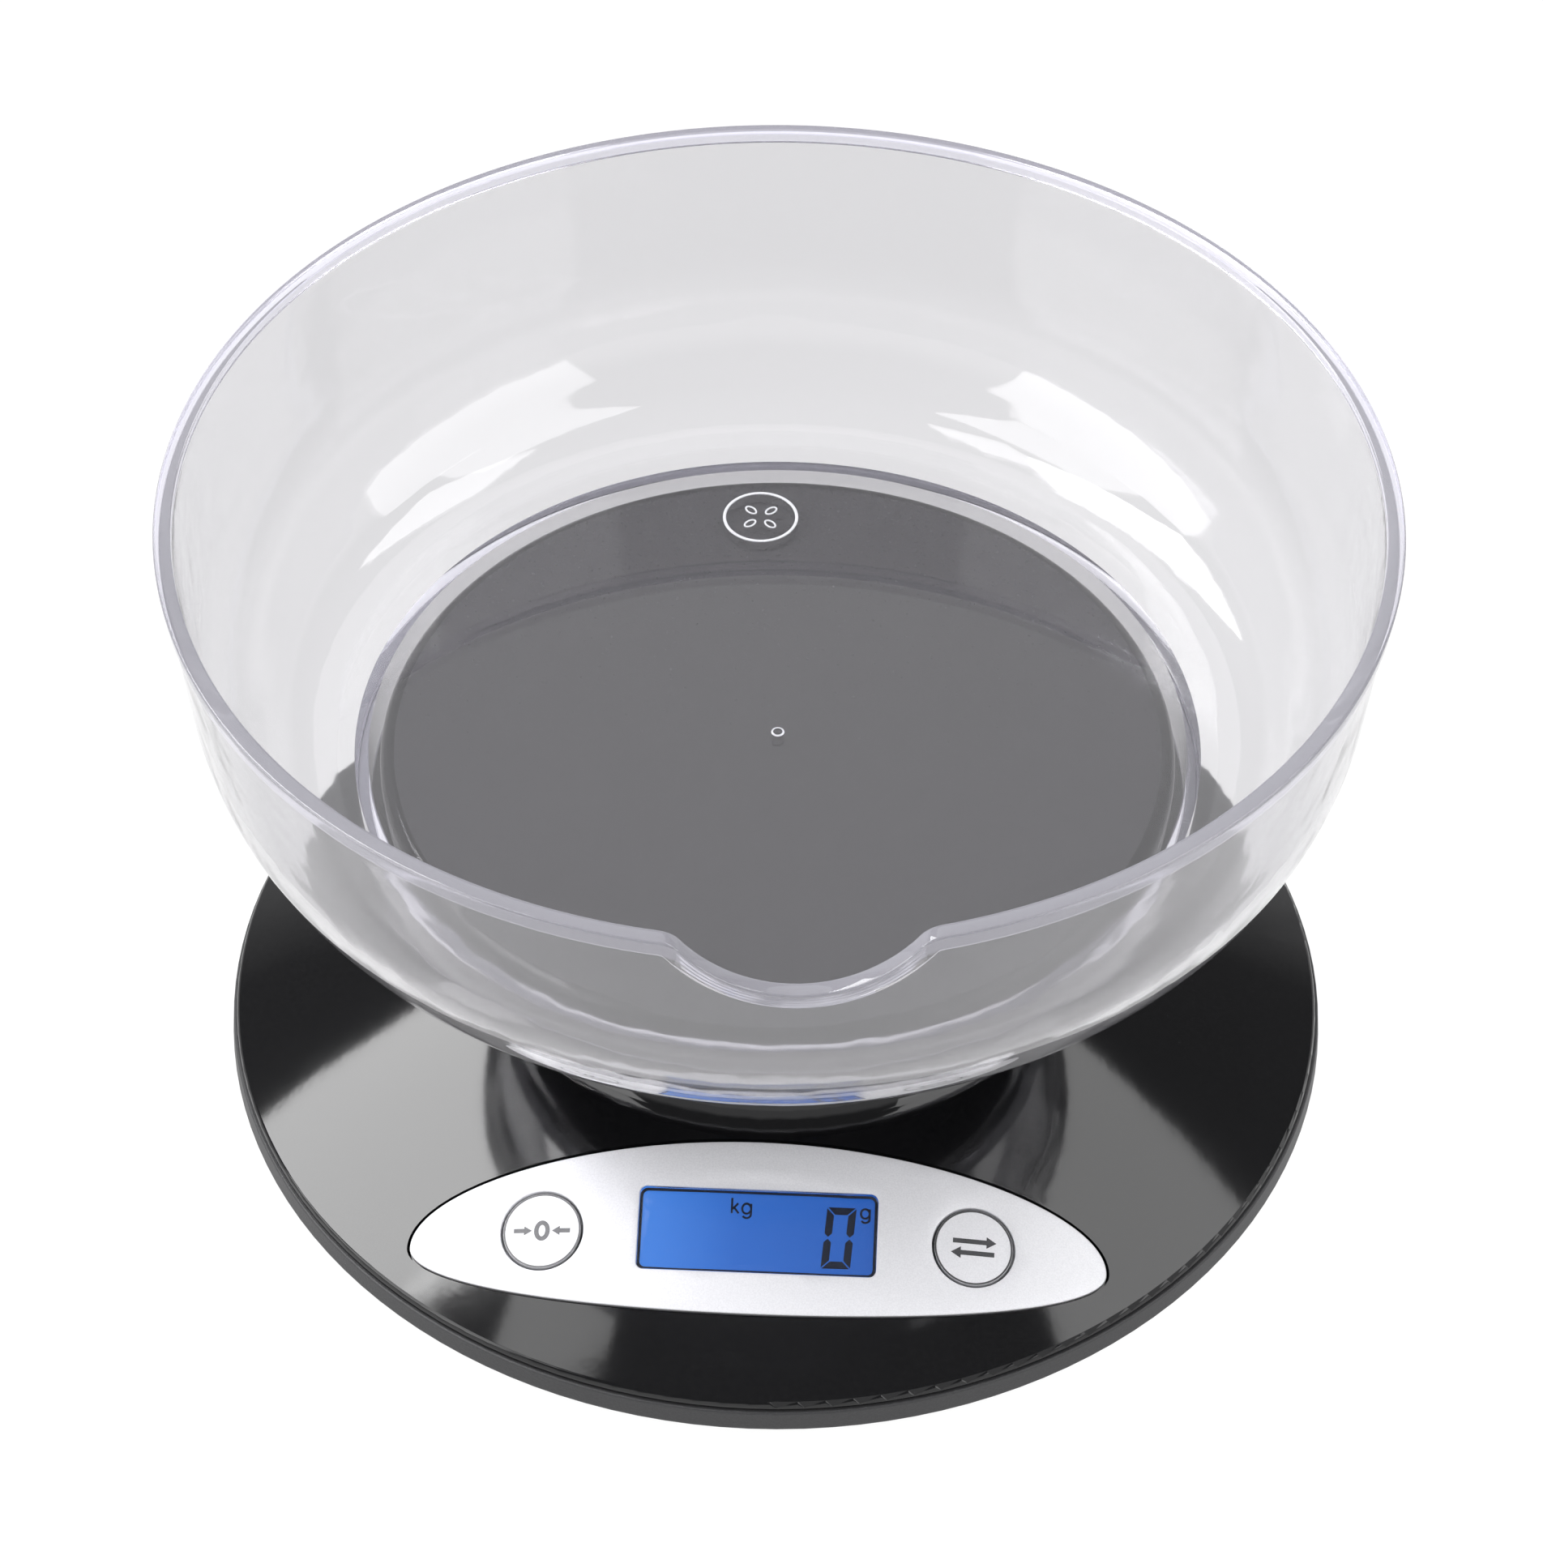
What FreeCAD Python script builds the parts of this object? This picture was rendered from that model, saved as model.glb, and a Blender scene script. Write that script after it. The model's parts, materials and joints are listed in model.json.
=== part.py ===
"""Electronic kitchen scale: round pedestal base, weighing platform and clear lift-off bowl.

Units are millimetres. +Z is up, the front with the display faces -Y, and the origin is the
centre of the base on the surface that the feet stand on.
"""
import FreeCAD, Part
import math
import os

Vector = FreeCAD.Vector
UP = Vector(0, 0, 1)

# ---- driving dimensions -------------------------------------------------------------------
BASE_RADIUS = 100.0          # widest point, at the foot of the skirt
FOOT_HEIGHT = 2.0            # the tray hangs this far above the table
WALL = 2.6                   # upper housing wall
TRAY_FLOOR = 2.0             # lower housing floor thickness
SEAM_Z = 6.9                 # where the two housings meet
RIM_RADIUS = 99.0            # edge of the upper housing
RIM_Z = 7.8                  # height of that edge
CONE_ANGLE = 22.0            # slope of the conical top
NECK_RADIUS = 51.0
NECK_TOP = 52.0
NECK_FILLET = 7.0
DECK_HOLE_RADIUS = 40.0

PLATFORM_RADIUS = 69.5
PLATFORM_TOP = 68.0
PLATFORM_WALL = 2.4
PLATFORM_SKIRT_Z = 57.0

BOWL_RIM_RADIUS = 103.8
BOWL_TOP = 124.4
BOWL_WALL = 2.3
BOWL_TURN = 4.5              # the bowl stands slightly turned on the platform
NOTCH_RADIUS = 22.4
NOTCH_DEPTH = 11.0
NOTCH_SHOULDER = 4.0
LIP_HEIGHT = 3.0
LIP_PROUD = 0.7

PANEL_RADIUS_AT_CENTRE = 69.75   # distance of the display's centre from the axis
PANEL_HALF_WIDTH = 60.3
PANEL_RISE = 18.8                # from the line through its tips to its upper edge
PANEL_DROP = 12.05               # from that line to its lower edge
PANEL_TIP_T = -3.5               # height of that line below the display's centre, on the slope
PANEL_THICKNESS = 1.2
PANEL_GAP = 0.5
WINDOW_SIZE = (41.2, 15.0)
WINDOW_CENTRE_T = -0.45
WINDOW_CORNER = 1.3
BUTTON_S = 37.2
BUTTON_T = -1.1
BUTTON_HOLE_RADIUS = 7.2
BUTTON_RADIUS = 6.75

LOAD_CELL = (70.0, 12.7, 12.7)
LOAD_CELL_Z = 8.0
LOAD_CELL_HOLES = (17.0, 29.0)
LOAD_CELL_TOP = LOAD_CELL_Z + LOAD_CELL[2]
M4_RADIUS = 2.0
M4_CLEAR_RADIUS = 2.2
M4_HEAD_RADIUS = 3.5
M4_HEAD_HEIGHT = 2.4
M4_SOCKET_RADIUS = 1.5
M4_SOCKET_DEPTH = 1.4
M4_SEAT_Z = 4.8

BAY_HALF_LENGTH = 25.5
BAY_Y = (36.5, 60.8)
BAY_CEILING = 15.2
BAY_WALL = 2.0
BATTERY_RADIUS = 5.25
DOOR_AXIS_Y = 59.5
DOOR_AXIS_Z = 3.0

SCREW_RADIUS = 1.3           # shanks, and the pilot holes they are driven into
SCREW_CLEAR_RADIUS = 1.6
SCREW_HEAD_RADIUS = 3.0
SCREW_HEAD_HEIGHT = 2.0
SCREW_SEAT_Z = 4.6
SLOT_WIDTH = 0.8
SLOT_LENGTH = 4.4
SLOT_DEPTH = 1.0
SCREW_CIRCLE = 76.0
SCREW_ANGLES = (0, 60, 120, 180, 215, 325)
FOOT_POCKET = 0.8            # the feet are set this far into the tray
FOOT_CIRCLE = 86.0
FOOT_RADIUS = 6.5

FLOOR_TOP = FOOT_HEIGHT + TRAY_FLOOR
SLOPE = math.tan(math.radians(CONE_ANGLE))
CONE_COS = math.cos(math.radians(CONE_ANGLE))
CONE_SIN = math.sin(math.radians(CONE_ANGLE))


# ---- helpers ------------------------------------------------------------------------------
def flat_xz(u, v):
    return Vector(u, 0, v)


def flat_xy(u, v):
    return Vector(u, v, 0)


def rounded_edges(corners, place, closed=True):
    """Edges through (u, v, radius) corners, each corner rounded to its radius."""
    count = len(corners)
    ends = []
    for i, (u, v, radius) in enumerate(corners):
        here = place(u, v)
        if radius <= 0 or (not closed and i in (0, count - 1)):
            ends.append((here, None, here))
            continue
        back = place(*corners[i - 1][:2]) - here
        ahead = place(*corners[(i + 1) % count][:2]) - here
        back.normalize()
        ahead.normalize()
        half = back.getAngle(ahead) / 2
        reach = radius / math.tan(half)
        middle = back + ahead
        middle.normalize()
        apex = here + middle * (radius / math.sin(half) - radius)
        ends.append((here + back * reach, apex, here + ahead * reach))
    edges = []
    for i in range(count):
        enter, apex, leave = ends[i]
        if apex is not None:
            edges.append(Part.Arc(enter, apex, leave).toShape())
        if i == count - 1 and not closed:
            break
        following = ends[(i + 1) % count][0]
        if leave.distanceToPoint(following) > 1e-6:
            edges.append(Part.LineSegment(leave, following).toShape())
    return edges


def rounded_face(corners, place=flat_xz):
    return Part.Face(Part.Wire(rounded_edges(corners, place)))


def lathe(corners):
    """A solid turned about Z from (radius, height, rounding) corners."""
    return rounded_face(corners).revolve(Vector(0, 0, 0), UP, 360)


def parallel_path(corners, distance):
    """The open path moved to its left by a distance, with its roundings kept concentric."""
    moved = []
    count = len(corners)
    for i, (u, v, radius) in enumerate(corners):
        directions = []
        for a, b in ((i - 1, i), (i, i + 1)):
            if a < 0 or b >= count:
                continue
            run = (corners[b][0] - corners[a][0], corners[b][1] - corners[a][1])
            size = math.hypot(*run)
            directions.append((run[0] / size, run[1] / size))
        first = directions[0]
        last = directions[-1]
        cross = first[0] * last[1] - first[1] * last[0]
        cosine = first[0] * last[0] + first[1] * last[1]
        normal = (-(first[1] + last[1]), first[0] + last[0])
        size = math.hypot(*normal)
        stretch = distance / math.sqrt((1 + cosine) / 2) / size
        rounding = radius - distance * (1 if cross > 0 else -1) if radius > 0 else 0
        moved.append((u + normal[0] * stretch, v + normal[1] * stretch, rounding))
    return moved


def cylinder(x, y, bottom, top, radius):
    return Part.makeCylinder(radius, top - bottom, Vector(x, y, bottom))


def block(low, high):
    size = [b - a for a, b in zip(low, high)]
    return Part.makeBox(size[0], size[1], size[2], Vector(*low))


def polar(radius, degrees):
    angle = math.radians(degrees)
    return radius * math.cos(angle), radius * math.sin(angle)


def plate(width, depth, corner, bottom, top, centre=(0, 0)):
    """A flat plate with rounded corners, standing on Z."""
    x, y = width / 2, depth / 2
    corners = [(-x, -y, corner), (x, -y, corner), (x, y, corner), (-x, y, corner)]
    face = rounded_face(corners, flat_xy)
    face.translate(Vector(centre[0], centre[1], bottom))
    return face.extrude(Vector(0, 0, top - bottom))


def joined(first, others):
    return first.fuse(others).removeSplitter()


def cone_height(radius):
    return RIM_Z + (RIM_RADIUS - radius) * SLOPE


def cone_layer(top_depth, bottom_depth):
    """The layer between two depths under the conical top, measured square to it."""
    inner, outer = 30.0, 112.0
    corners = []
    for radius, depth in ((inner, bottom_depth), (outer, bottom_depth), (outer, top_depth), (inner, top_depth)):
        corners.append((radius - depth * CONE_SIN, cone_height(radius) - depth * CONE_COS, 0))
    return lathe(corners)


# Panel frame: s to the right, t up the slope, n out of the slope at the display's centre.
PANEL_FRAME = FreeCAD.Placement(
    Vector(0, -PANEL_RADIUS_AT_CENTRE, cone_height(PANEL_RADIUS_AT_CENTRE)),
    FreeCAD.Rotation(Vector(1, 0, 0), CONE_ANGLE),
)


def on_panel(shape):
    shape.Placement = PANEL_FRAME.multiply(shape.Placement)
    return shape


def panel_outline(grow, bottom, top):
    """Prism over the eye-shaped panel: two half ellipses that share their long axis."""
    half = PANEL_HALF_WIDTH + grow
    edges = []
    for height, start in ((PANEL_RISE, 0), (PANEL_DROP, math.pi)):
        ellipse = Part.Ellipse(Vector(0, PANEL_TIP_T, 0), half, height + grow)
        edges.append(Part.Arc(ellipse, start, start + math.pi).toShape())
    face = Part.Face(Part.Wire(edges))
    face.translate(Vector(0, 0, bottom))
    return face.extrude(Vector(0, 0, top - bottom))


def window_prism(shrink, bottom, top):
    width = WINDOW_SIZE[0] - 2 * shrink
    depth = WINDOW_SIZE[1] - 2 * shrink
    return plate(width, depth, WINDOW_CORNER, bottom, top, (0, WINDOW_CENTRE_T))


def tube(points, radius, bend):
    """A round wire bundle: straight runs joined by tangent arcs."""
    corners = [Vector(*p) for p in points]
    edges = []
    start = corners[0]
    for i in range(1, len(corners) - 1):
        back = corners[i - 1] - corners[i]
        ahead = corners[i + 1] - corners[i]
        back.normalize()
        ahead.normalize()
        half = back.getAngle(ahead) / 2
        reach = bend / math.tan(half)
        middle = back + ahead
        middle.normalize()
        enter = corners[i] + back * reach
        leave = corners[i] + ahead * reach
        apex = corners[i] + middle * (bend / math.sin(half) - bend)
        edges.append(Part.LineSegment(start, enter).toShape())
        edges.append(Part.Arc(enter, apex, leave).toShape())
        start = leave
    edges.append(Part.LineSegment(start, corners[-1]).toShape())
    path = Part.Wire(edges)
    section = Part.Wire(Part.makeCircle(radius, corners[0], corners[1] - corners[0]))
    pipe = path.makePipeShell([section], True, True)
    expected = math.pi * radius ** 2 * path.Length
    print(f"wire: length {path.Length:.1f}, volume {pipe.Volume:.1f}, expected {expected:.1f}, bend {bend}")
    return pipe


# ---- housings -----------------------------------------------------------------------------
HOUSING_BOSS_Z = 7.0
HOUSING_BOSS_TOP = 15.0
HOUSING_BOSS_RADIUS = 4.0
HOUSING_LIP_RADIUS = 97.2    # inside of the rim, which the tray's skirt plugs into
TRAY_BOSS_RADIUS = 5.0
BOARD_BOSS_RADIUS = 2.5
BOARD_BOSS_TOP_N = -7.2
BOARD_N = -9.5               # top face of the circuit board, in the panel frame
BOARD_THICKNESS = 1.6
BOARD_SCREWS = ((-44.0, 7.0), (44.0, 7.0), (-44.0, -9.0), (44.0, -9.0))
BOARD_SCREW_RADIUS = 0.9
MODULE_OPENING = (50.5, 24.0)
BUTTON_WELL_RADIUS = 8.2


def upper_housing():
    outside = [
        (RIM_RADIUS, SEAM_Z, 0),
        (RIM_RADIUS, RIM_Z, 1.0),
        (NECK_RADIUS, cone_height(NECK_RADIUS), NECK_FILLET),
        (NECK_RADIUS, NECK_TOP, 1.5),
        (DECK_HOLE_RADIUS, NECK_TOP, 0),
    ]
    inner_drop = WALL / CONE_COS
    inner_neck = NECK_RADIUS - WALL
    inside = [
        (DECK_HOLE_RADIUS, NECK_TOP - WALL, 0),
        (inner_neck, NECK_TOP - WALL, 0.8),
        (inner_neck, cone_height(inner_neck) - inner_drop, NECK_FILLET + WALL),
        (HOUSING_LIP_RADIUS, cone_height(HOUSING_LIP_RADIUS) - inner_drop, 0),
        (HOUSING_LIP_RADIUS, SEAM_Z, 0),
    ]
    shell = lathe(outside + inside)
    bosses = []
    pilots = []
    for angle in SCREW_ANGLES:
        x, y = polar(SCREW_CIRCLE, angle)
        bosses.append(cylinder(x, y, HOUSING_BOSS_Z, HOUSING_BOSS_TOP, HOUSING_BOSS_RADIUS))
        pilots.append(cylinder(x, y, HOUSING_BOSS_Z, HOUSING_BOSS_TOP - 2.0, SCREW_RADIUS))
    for s, t in BOARD_SCREWS:
        bosses.append(on_panel(cylinder(s, t, BOARD_N, BOARD_BOSS_TOP_N, BOARD_BOSS_RADIUS)))
        pilots.append(on_panel(cylinder(s, t, BOARD_N, BOARD_BOSS_TOP_N - 0.2, BOARD_SCREW_RADIUS)))
    body = shell.fuse(bosses)
    recess = cone_layer(-3.0, PANEL_THICKNESS).common(on_panel(panel_outline(PANEL_GAP, -30, 10)))
    cuts = [recess]
    cuts.append(on_panel(plate(MODULE_OPENING[0], MODULE_OPENING[1], 2.0, -12, 4, (0, WINDOW_CENTRE_T))))
    for side in (-1, 1):
        cuts.append(on_panel(cylinder(side * BUTTON_S, BUTTON_T, -9.0, 2, BUTTON_WELL_RADIUS)))
    return body.cut(cuts + pilots).removeSplitter()


def lower_housing():
    skirt_top_radius = 99.6
    ledge_radius = 98.4
    skirt_inner = 97.45
    groove = 0.6
    tray = lathe([
        (0, FOOT_HEIGHT, 0),
        (BASE_RADIUS, FOOT_HEIGHT, 0.8),
        (skirt_top_radius, SEAM_Z - groove, 0.4),
        (ledge_radius, SEAM_Z - groove, 0),
        (ledge_radius, SEAM_Z, 0),
        (skirt_inner, SEAM_Z, 0),
        (skirt_inner, FLOOR_TOP, 0.6),
        (0, FLOOR_TOP, 0),
    ])
    added = []
    removed = []
    for angle in SCREW_ANGLES:
        x, y = polar(SCREW_CIRCLE, angle)
        added.append(cylinder(x, y, FLOOR_TOP, HOUSING_BOSS_Z, TRAY_BOSS_RADIUS))
        removed.append(cylinder(x, y, FOOT_HEIGHT, SCREW_SEAT_Z, SCREW_HEAD_RADIUS + 0.4))
        removed.append(cylinder(x, y, SCREW_SEAT_Z, HOUSING_BOSS_Z, SCREW_CLEAR_RADIUS))
    cell_seat_half_width = 8.0
    cell_seat_end = -12.0
    added.append(block(
        (-LOAD_CELL[0] / 2, -cell_seat_half_width, FLOOR_TOP),
        (cell_seat_end, cell_seat_half_width, LOAD_CELL_Z)))
    for x in LOAD_CELL_HOLES:
        removed.append(cylinder(-x, 0, FOOT_HEIGHT, M4_SEAT_Z, M4_HEAD_RADIUS + 0.4))
        removed.append(cylinder(-x, 0, M4_SEAT_Z, LOAD_CELL_Z, M4_CLEAR_RADIUS))
    overload_gap = 0.8
    overload_stop = block((22, -5, FLOOR_TOP), (33, 5, LOAD_CELL_Z - overload_gap))
    added.append(overload_stop)
    for degrees in (45, 135, 225, 315):
        x, y = polar(FOOT_CIRCLE, degrees)
        removed.append(cylinder(x, y, FOOT_HEIGHT, FOOT_HEIGHT + FOOT_POCKET, FOOT_RADIUS))
    outer_x = BAY_HALF_LENGTH + BAY_WALL
    bay = block(
        (-outer_x, BAY_Y[0] - BAY_WALL, FLOOR_TOP),
        (outer_x, BAY_Y[1] + BAY_WALL, BAY_CEILING + 1.5),
    )
    added.append(bay)
    removed.append(block((-BAY_HALF_LENGTH, BAY_Y[0], FOOT_HEIGHT), (BAY_HALF_LENGTH, BAY_Y[1], BAY_CEILING)))
    socket_radius = 0.9
    socket_depth = 1.4
    for x in (-BAY_HALF_LENGTH - socket_depth, BAY_HALF_LENGTH):
        removed.append(Part.makeCylinder(
            socket_radius, socket_depth, Vector(x, DOOR_AXIS_Y, DOOR_AXIS_Z), Vector(1, 0, 0)))
    rib_height = 1.0
    rib_width = 1.2
    ribs = []
    for radius in (30.0, 93.5):
        ring = cylinder(0, 0, FLOOR_TOP, FLOOR_TOP + rib_height, radius)
        ribs.append(ring.cut(cylinder(0, 0, FLOOR_TOP, FLOOR_TOP + rib_height, radius - rib_width)))
    ribs[0] = ribs[0].cut(block((-40, -9, 0), (40, 40, 20)))
    return tray.fuse(added + ribs).cut(removed).removeSplitter()


def screw_slot(x, y, bottom, turned=False):
    long, short = SLOT_LENGTH / 2, SLOT_WIDTH / 2
    if turned:
        long, short = short, long
    return block((x - long, y - short, bottom), (x + long, y + short, bottom + SLOT_DEPTH))


def housing_screws():
    screws = []
    for angle in SCREW_ANGLES:
        x, y = polar(SCREW_CIRCLE, angle)
        bottom = SCREW_SEAT_Z - SCREW_HEAD_HEIGHT
        head = cylinder(x, y, bottom, SCREW_SEAT_Z, SCREW_HEAD_RADIUS)
        shank = cylinder(x, y, SCREW_SEAT_Z, HOUSING_BOSS_TOP - 2.4, SCREW_RADIUS)
        slots = [screw_slot(x, y, bottom, turned) for turned in (False, True)]
        screws.append(joined(head, [shank]).cut(slots))
    return Part.makeCompound(screws)


def foot(degrees):
    x, y = polar(FOOT_CIRCLE, degrees)
    pad = lathe([
        (0, 0, 0),
        (FOOT_RADIUS - 0.6, 0, 0.5),
        (FOOT_RADIUS - 0.2, FOOT_HEIGHT + FOOT_POCKET, 0),
        (0, FOOT_HEIGHT + FOOT_POCKET, 0),
    ])
    pad.translate(Vector(x, y, 0))
    return pad


# ---- battery bay --------------------------------------------------------------------------
BATTERY_Z = FLOOR_TOP + 0.3 + BATTERY_RADIUS
BATTERY_LENGTH = 43.7
NUB_LENGTH = 0.8
BATTERY_START = -21.9
BATTERY_ROWS = (BAY_Y[0] + 0.9 + BATTERY_RADIUS, BAY_Y[1] - 0.9 - BATTERY_RADIUS)


def facing(side, shape):
    """Turns a piece laid out along +X round to -X where side is -1."""
    if side < 0:
        shape.rotate(Vector(0, 0, 0), UP, 180)
    return shape


def along_x(start, stop, radius, end_radius=None):
    if end_radius is None:
        return Part.makeCylinder(radius, stop - start, Vector(start, 0, 0), Vector(1, 0, 0))
    return Part.makeCone(radius, end_radius, stop - start, Vector(start, 0, 0), Vector(1, 0, 0))


def battery(row, side):
    can = along_x(BATTERY_START, BATTERY_START + BATTERY_LENGTH, BATTERY_RADIUS)
    rims = [edge for edge in can.Edges if edge.Curve.TypeId == "Part::GeomCircle"]
    can = can.makeFillet(0.5, rims)
    nub_start = BATTERY_START + BATTERY_LENGTH
    cell = facing(side, joined(can, [along_x(nub_start, nub_start + NUB_LENGTH, 1.9)]))
    cell.translate(Vector(0, BATTERY_ROWS[row], BATTERY_Z))
    return cell


def contact_set(is_spring):
    """The flat positive contacts, or the conical negative springs, one for each battery."""
    pieces = []
    thickness = 0.4
    half = 4.2
    tip = -BATTERY_START if is_spring else BATTERY_START + BATTERY_LENGTH + NUB_LENGTH
    for row, nub_side in ((0, 1), (1, -1)):
        side = -nub_side if is_spring else nub_side
        back = block((BAY_HALF_LENGTH - thickness, -half, -half), (BAY_HALF_LENGTH, half, half))
        if is_spring:
            pin = along_x(tip, BAY_HALF_LENGTH - thickness, 2.2, 3.8)
        else:
            pin = along_x(tip, BAY_HALF_LENGTH - thickness, 2.0)
        piece = facing(side, joined(back, [pin]))
        piece.translate(Vector(0, BATTERY_ROWS[row], BATTERY_Z))
        pieces.append(piece)
    return Part.makeCompound(pieces)


def battery_door():
    clearance = 0.3
    half = BAY_HALF_LENGTH - clearance
    edge = TRAY_FLOOR / 2
    front = BAY_Y[0] + clearance
    leaf = block((-half, front, FOOT_HEIGHT), (half, DOOR_AXIS_Y, FLOOR_TOP))
    knuckle = along_x(-half, half, edge)
    pins = along_x(-half - 1.3, half + 1.3, 0.82)
    for shape in (knuckle, pins):
        shape.translate(Vector(0, DOOR_AXIS_Y, DOOR_AXIS_Z))
    door = joined(leaf, [knuckle, pins])
    grooves = []
    for i in range(4):
        y = front + 3.0 + i * 1.8
        grooves.append(block((-7, y, FOOT_HEIGHT), (7, y + 0.8, FOOT_HEIGHT + 0.5)))
    return door.cut(grooves)


# ---- load cell ----------------------------------------------------------------------------
SPACER_TOP = 24.0
CARRIER_PLATE = 3.0
WEAK_SPOT_X = 6.5            # the two bores of the spectacle-shaped cut-out
WEAK_SPOT_RADIUS = 4.4
GAUGE_COVER = (20.0, 10.5, 1.0)


def load_cell():
    half = LOAD_CELL[0] / 2
    side = LOAD_CELL[1] / 2
    bar = block((-half, -side, LOAD_CELL_Z), (half, side, LOAD_CELL_TOP))
    middle = LOAD_CELL_Z + LOAD_CELL[2] / 2
    cuts = []
    for x in (-WEAK_SPOT_X, WEAK_SPOT_X):
        cuts.append(Part.makeCylinder(WEAK_SPOT_RADIUS, LOAD_CELL[1], Vector(x, -side, middle), Vector(0, 1, 0)))
    slot_half = 1.2
    cuts.append(block((-WEAK_SPOT_X, -side, middle - slot_half), (WEAK_SPOT_X, side, middle + slot_half)))
    for x in LOAD_CELL_HOLES:
        cuts.append(cylinder(-x, 0, LOAD_CELL_Z, LOAD_CELL_TOP, M4_RADIUS))
        cuts.append(cylinder(x, 0, LOAD_CELL_Z, LOAD_CELL_TOP, M4_RADIUS))
    return bar.cut(cuts)


def strain_gauge_covers():
    length, width, thickness = GAUGE_COVER
    corner = 2.0
    top = plate(length, width, corner, LOAD_CELL_TOP, LOAD_CELL_TOP + thickness)
    bottom = plate(length, width, corner, LOAD_CELL_Z - thickness, LOAD_CELL_Z)
    return Part.makeCompound([top, bottom])


def load_cell_spacer():
    side = LOAD_CELL[1] / 2
    start = LOAD_CELL_HOLES[0] - 4.5
    spacer = block((start, -side, LOAD_CELL_TOP), (LOAD_CELL[0] / 2, side, SPACER_TOP))
    return spacer.cut([cylinder(x, 0, LOAD_CELL_TOP, SPACER_TOP, M4_CLEAR_RADIUS) for x in LOAD_CELL_HOLES])


def cell_screws(at_base):
    screws = []
    for x in LOAD_CELL_HOLES:
        if at_base:
            bottom = M4_SEAT_Z - M4_HEAD_HEIGHT
            head = cylinder(-x, 0, bottom, M4_SEAT_Z, M4_HEAD_RADIUS)
            screw = joined(head, [cylinder(-x, 0, M4_SEAT_Z, LOAD_CELL_Z + 7.0, M4_RADIUS)])
            socket = cylinder(-x, 0, bottom, bottom + M4_SOCKET_DEPTH, M4_SOCKET_RADIUS)
        else:
            seat = SPACER_TOP + CARRIER_PLATE
            top = seat + M4_HEAD_HEIGHT
            head = cylinder(x, 0, seat, top, M4_HEAD_RADIUS)
            screw = joined(head, [cylinder(x, 0, LOAD_CELL_Z + 6.0, seat, M4_RADIUS)])
            socket = cylinder(x, 0, top - M4_SOCKET_DEPTH, top, M4_SOCKET_RADIUS)
        screws.append(screw.cut(socket))
    return Part.makeCompound(screws)


# ---- platform -----------------------------------------------------------------------------
CARRIER_TOP = 62.5
CARRIER_LID = 2.5
COLUMN_RADIUS = 36.5
COLUMN_WALL = 2.5
CARRIER_FLANGE_RADIUS = 42.0
PLATFORM_SCREW_CIRCLE = 26.0
PLATFORM_SCREW_ANGLES = (45, 135, 225, 315)
PLATFORM_BOSS_RADIUS = 4.5


def platform_carrier():
    plate_top = SPACER_TOP + CARRIER_PLATE
    inner = COLUMN_RADIUS - COLUMN_WALL
    body = lathe([
        (0, SPACER_TOP, 0),
        (CARRIER_FLANGE_RADIUS, SPACER_TOP, 0),
        (CARRIER_FLANGE_RADIUS, plate_top, 1.0),
        (COLUMN_RADIUS, plate_top, 1.0),
        (COLUMN_RADIUS, CARRIER_TOP, 1.0),
        (0, CARRIER_TOP, 0),
        (0, CARRIER_TOP - CARRIER_LID, 0),
        (inner, CARRIER_TOP - CARRIER_LID, 0),
        (inner, plate_top, 0),
        (0, plate_top, 0),
    ])
    driver_hole_radius = 5.0
    cuts = [cylinder(x, 0, SPACER_TOP, plate_top, M4_CLEAR_RADIUS) for x in LOAD_CELL_HOLES]
    for angle in PLATFORM_SCREW_ANGLES:
        x, y = polar(PLATFORM_SCREW_CIRCLE, angle)
        cuts.append(cylinder(x, y, SPACER_TOP, plate_top, driver_hole_radius))
        cuts.append(cylinder(x, y, CARRIER_TOP - CARRIER_LID, CARRIER_TOP, SCREW_CLEAR_RADIUS))
    return body.cut(cuts)


def platform():
    underside = PLATFORM_TOP - PLATFORM_WALL
    inner = PLATFORM_RADIUS - PLATFORM_WALL
    dish = lathe([
        (0, PLATFORM_TOP, 0),
        (0, underside, 0),
        (inner, underside, 0.8),
        (inner, PLATFORM_SKIRT_Z, 0),
        (PLATFORM_RADIUS, PLATFORM_SKIRT_Z, 0.6),
        (PLATFORM_RADIUS, PLATFORM_TOP, 1.8),
    ])
    ribs = []
    rib_count = 8
    rib_width = 1.6
    rib_ring_radius = 54.0
    rib_bottom = underside - 3.0
    rib_top = underside + 0.5
    for i in range(rib_count):
        rib = block((COLUMN_RADIUS + 1.5, -rib_width / 2, rib_bottom), (inner + 0.5, rib_width / 2, rib_top))
        rib.rotate(Vector(0, 0, 0), UP, 360.0 / rib_count * i)
        ribs.append(rib)
    ring = cylinder(0, 0, rib_bottom, rib_top, rib_ring_radius)
    ribs.append(ring.cut(cylinder(0, 0, rib_bottom, rib_top, rib_ring_radius - rib_width)))
    pilots = []
    for angle in PLATFORM_SCREW_ANGLES:
        x, y = polar(PLATFORM_SCREW_CIRCLE, angle)
        ribs.append(cylinder(x, y, CARRIER_TOP, rib_top, PLATFORM_BOSS_RADIUS))
        pilots.append(cylinder(x, y, CARRIER_TOP, PLATFORM_TOP - 1.2, SCREW_RADIUS))
    return dish.fuse(ribs).cut(pilots).removeSplitter()


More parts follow.
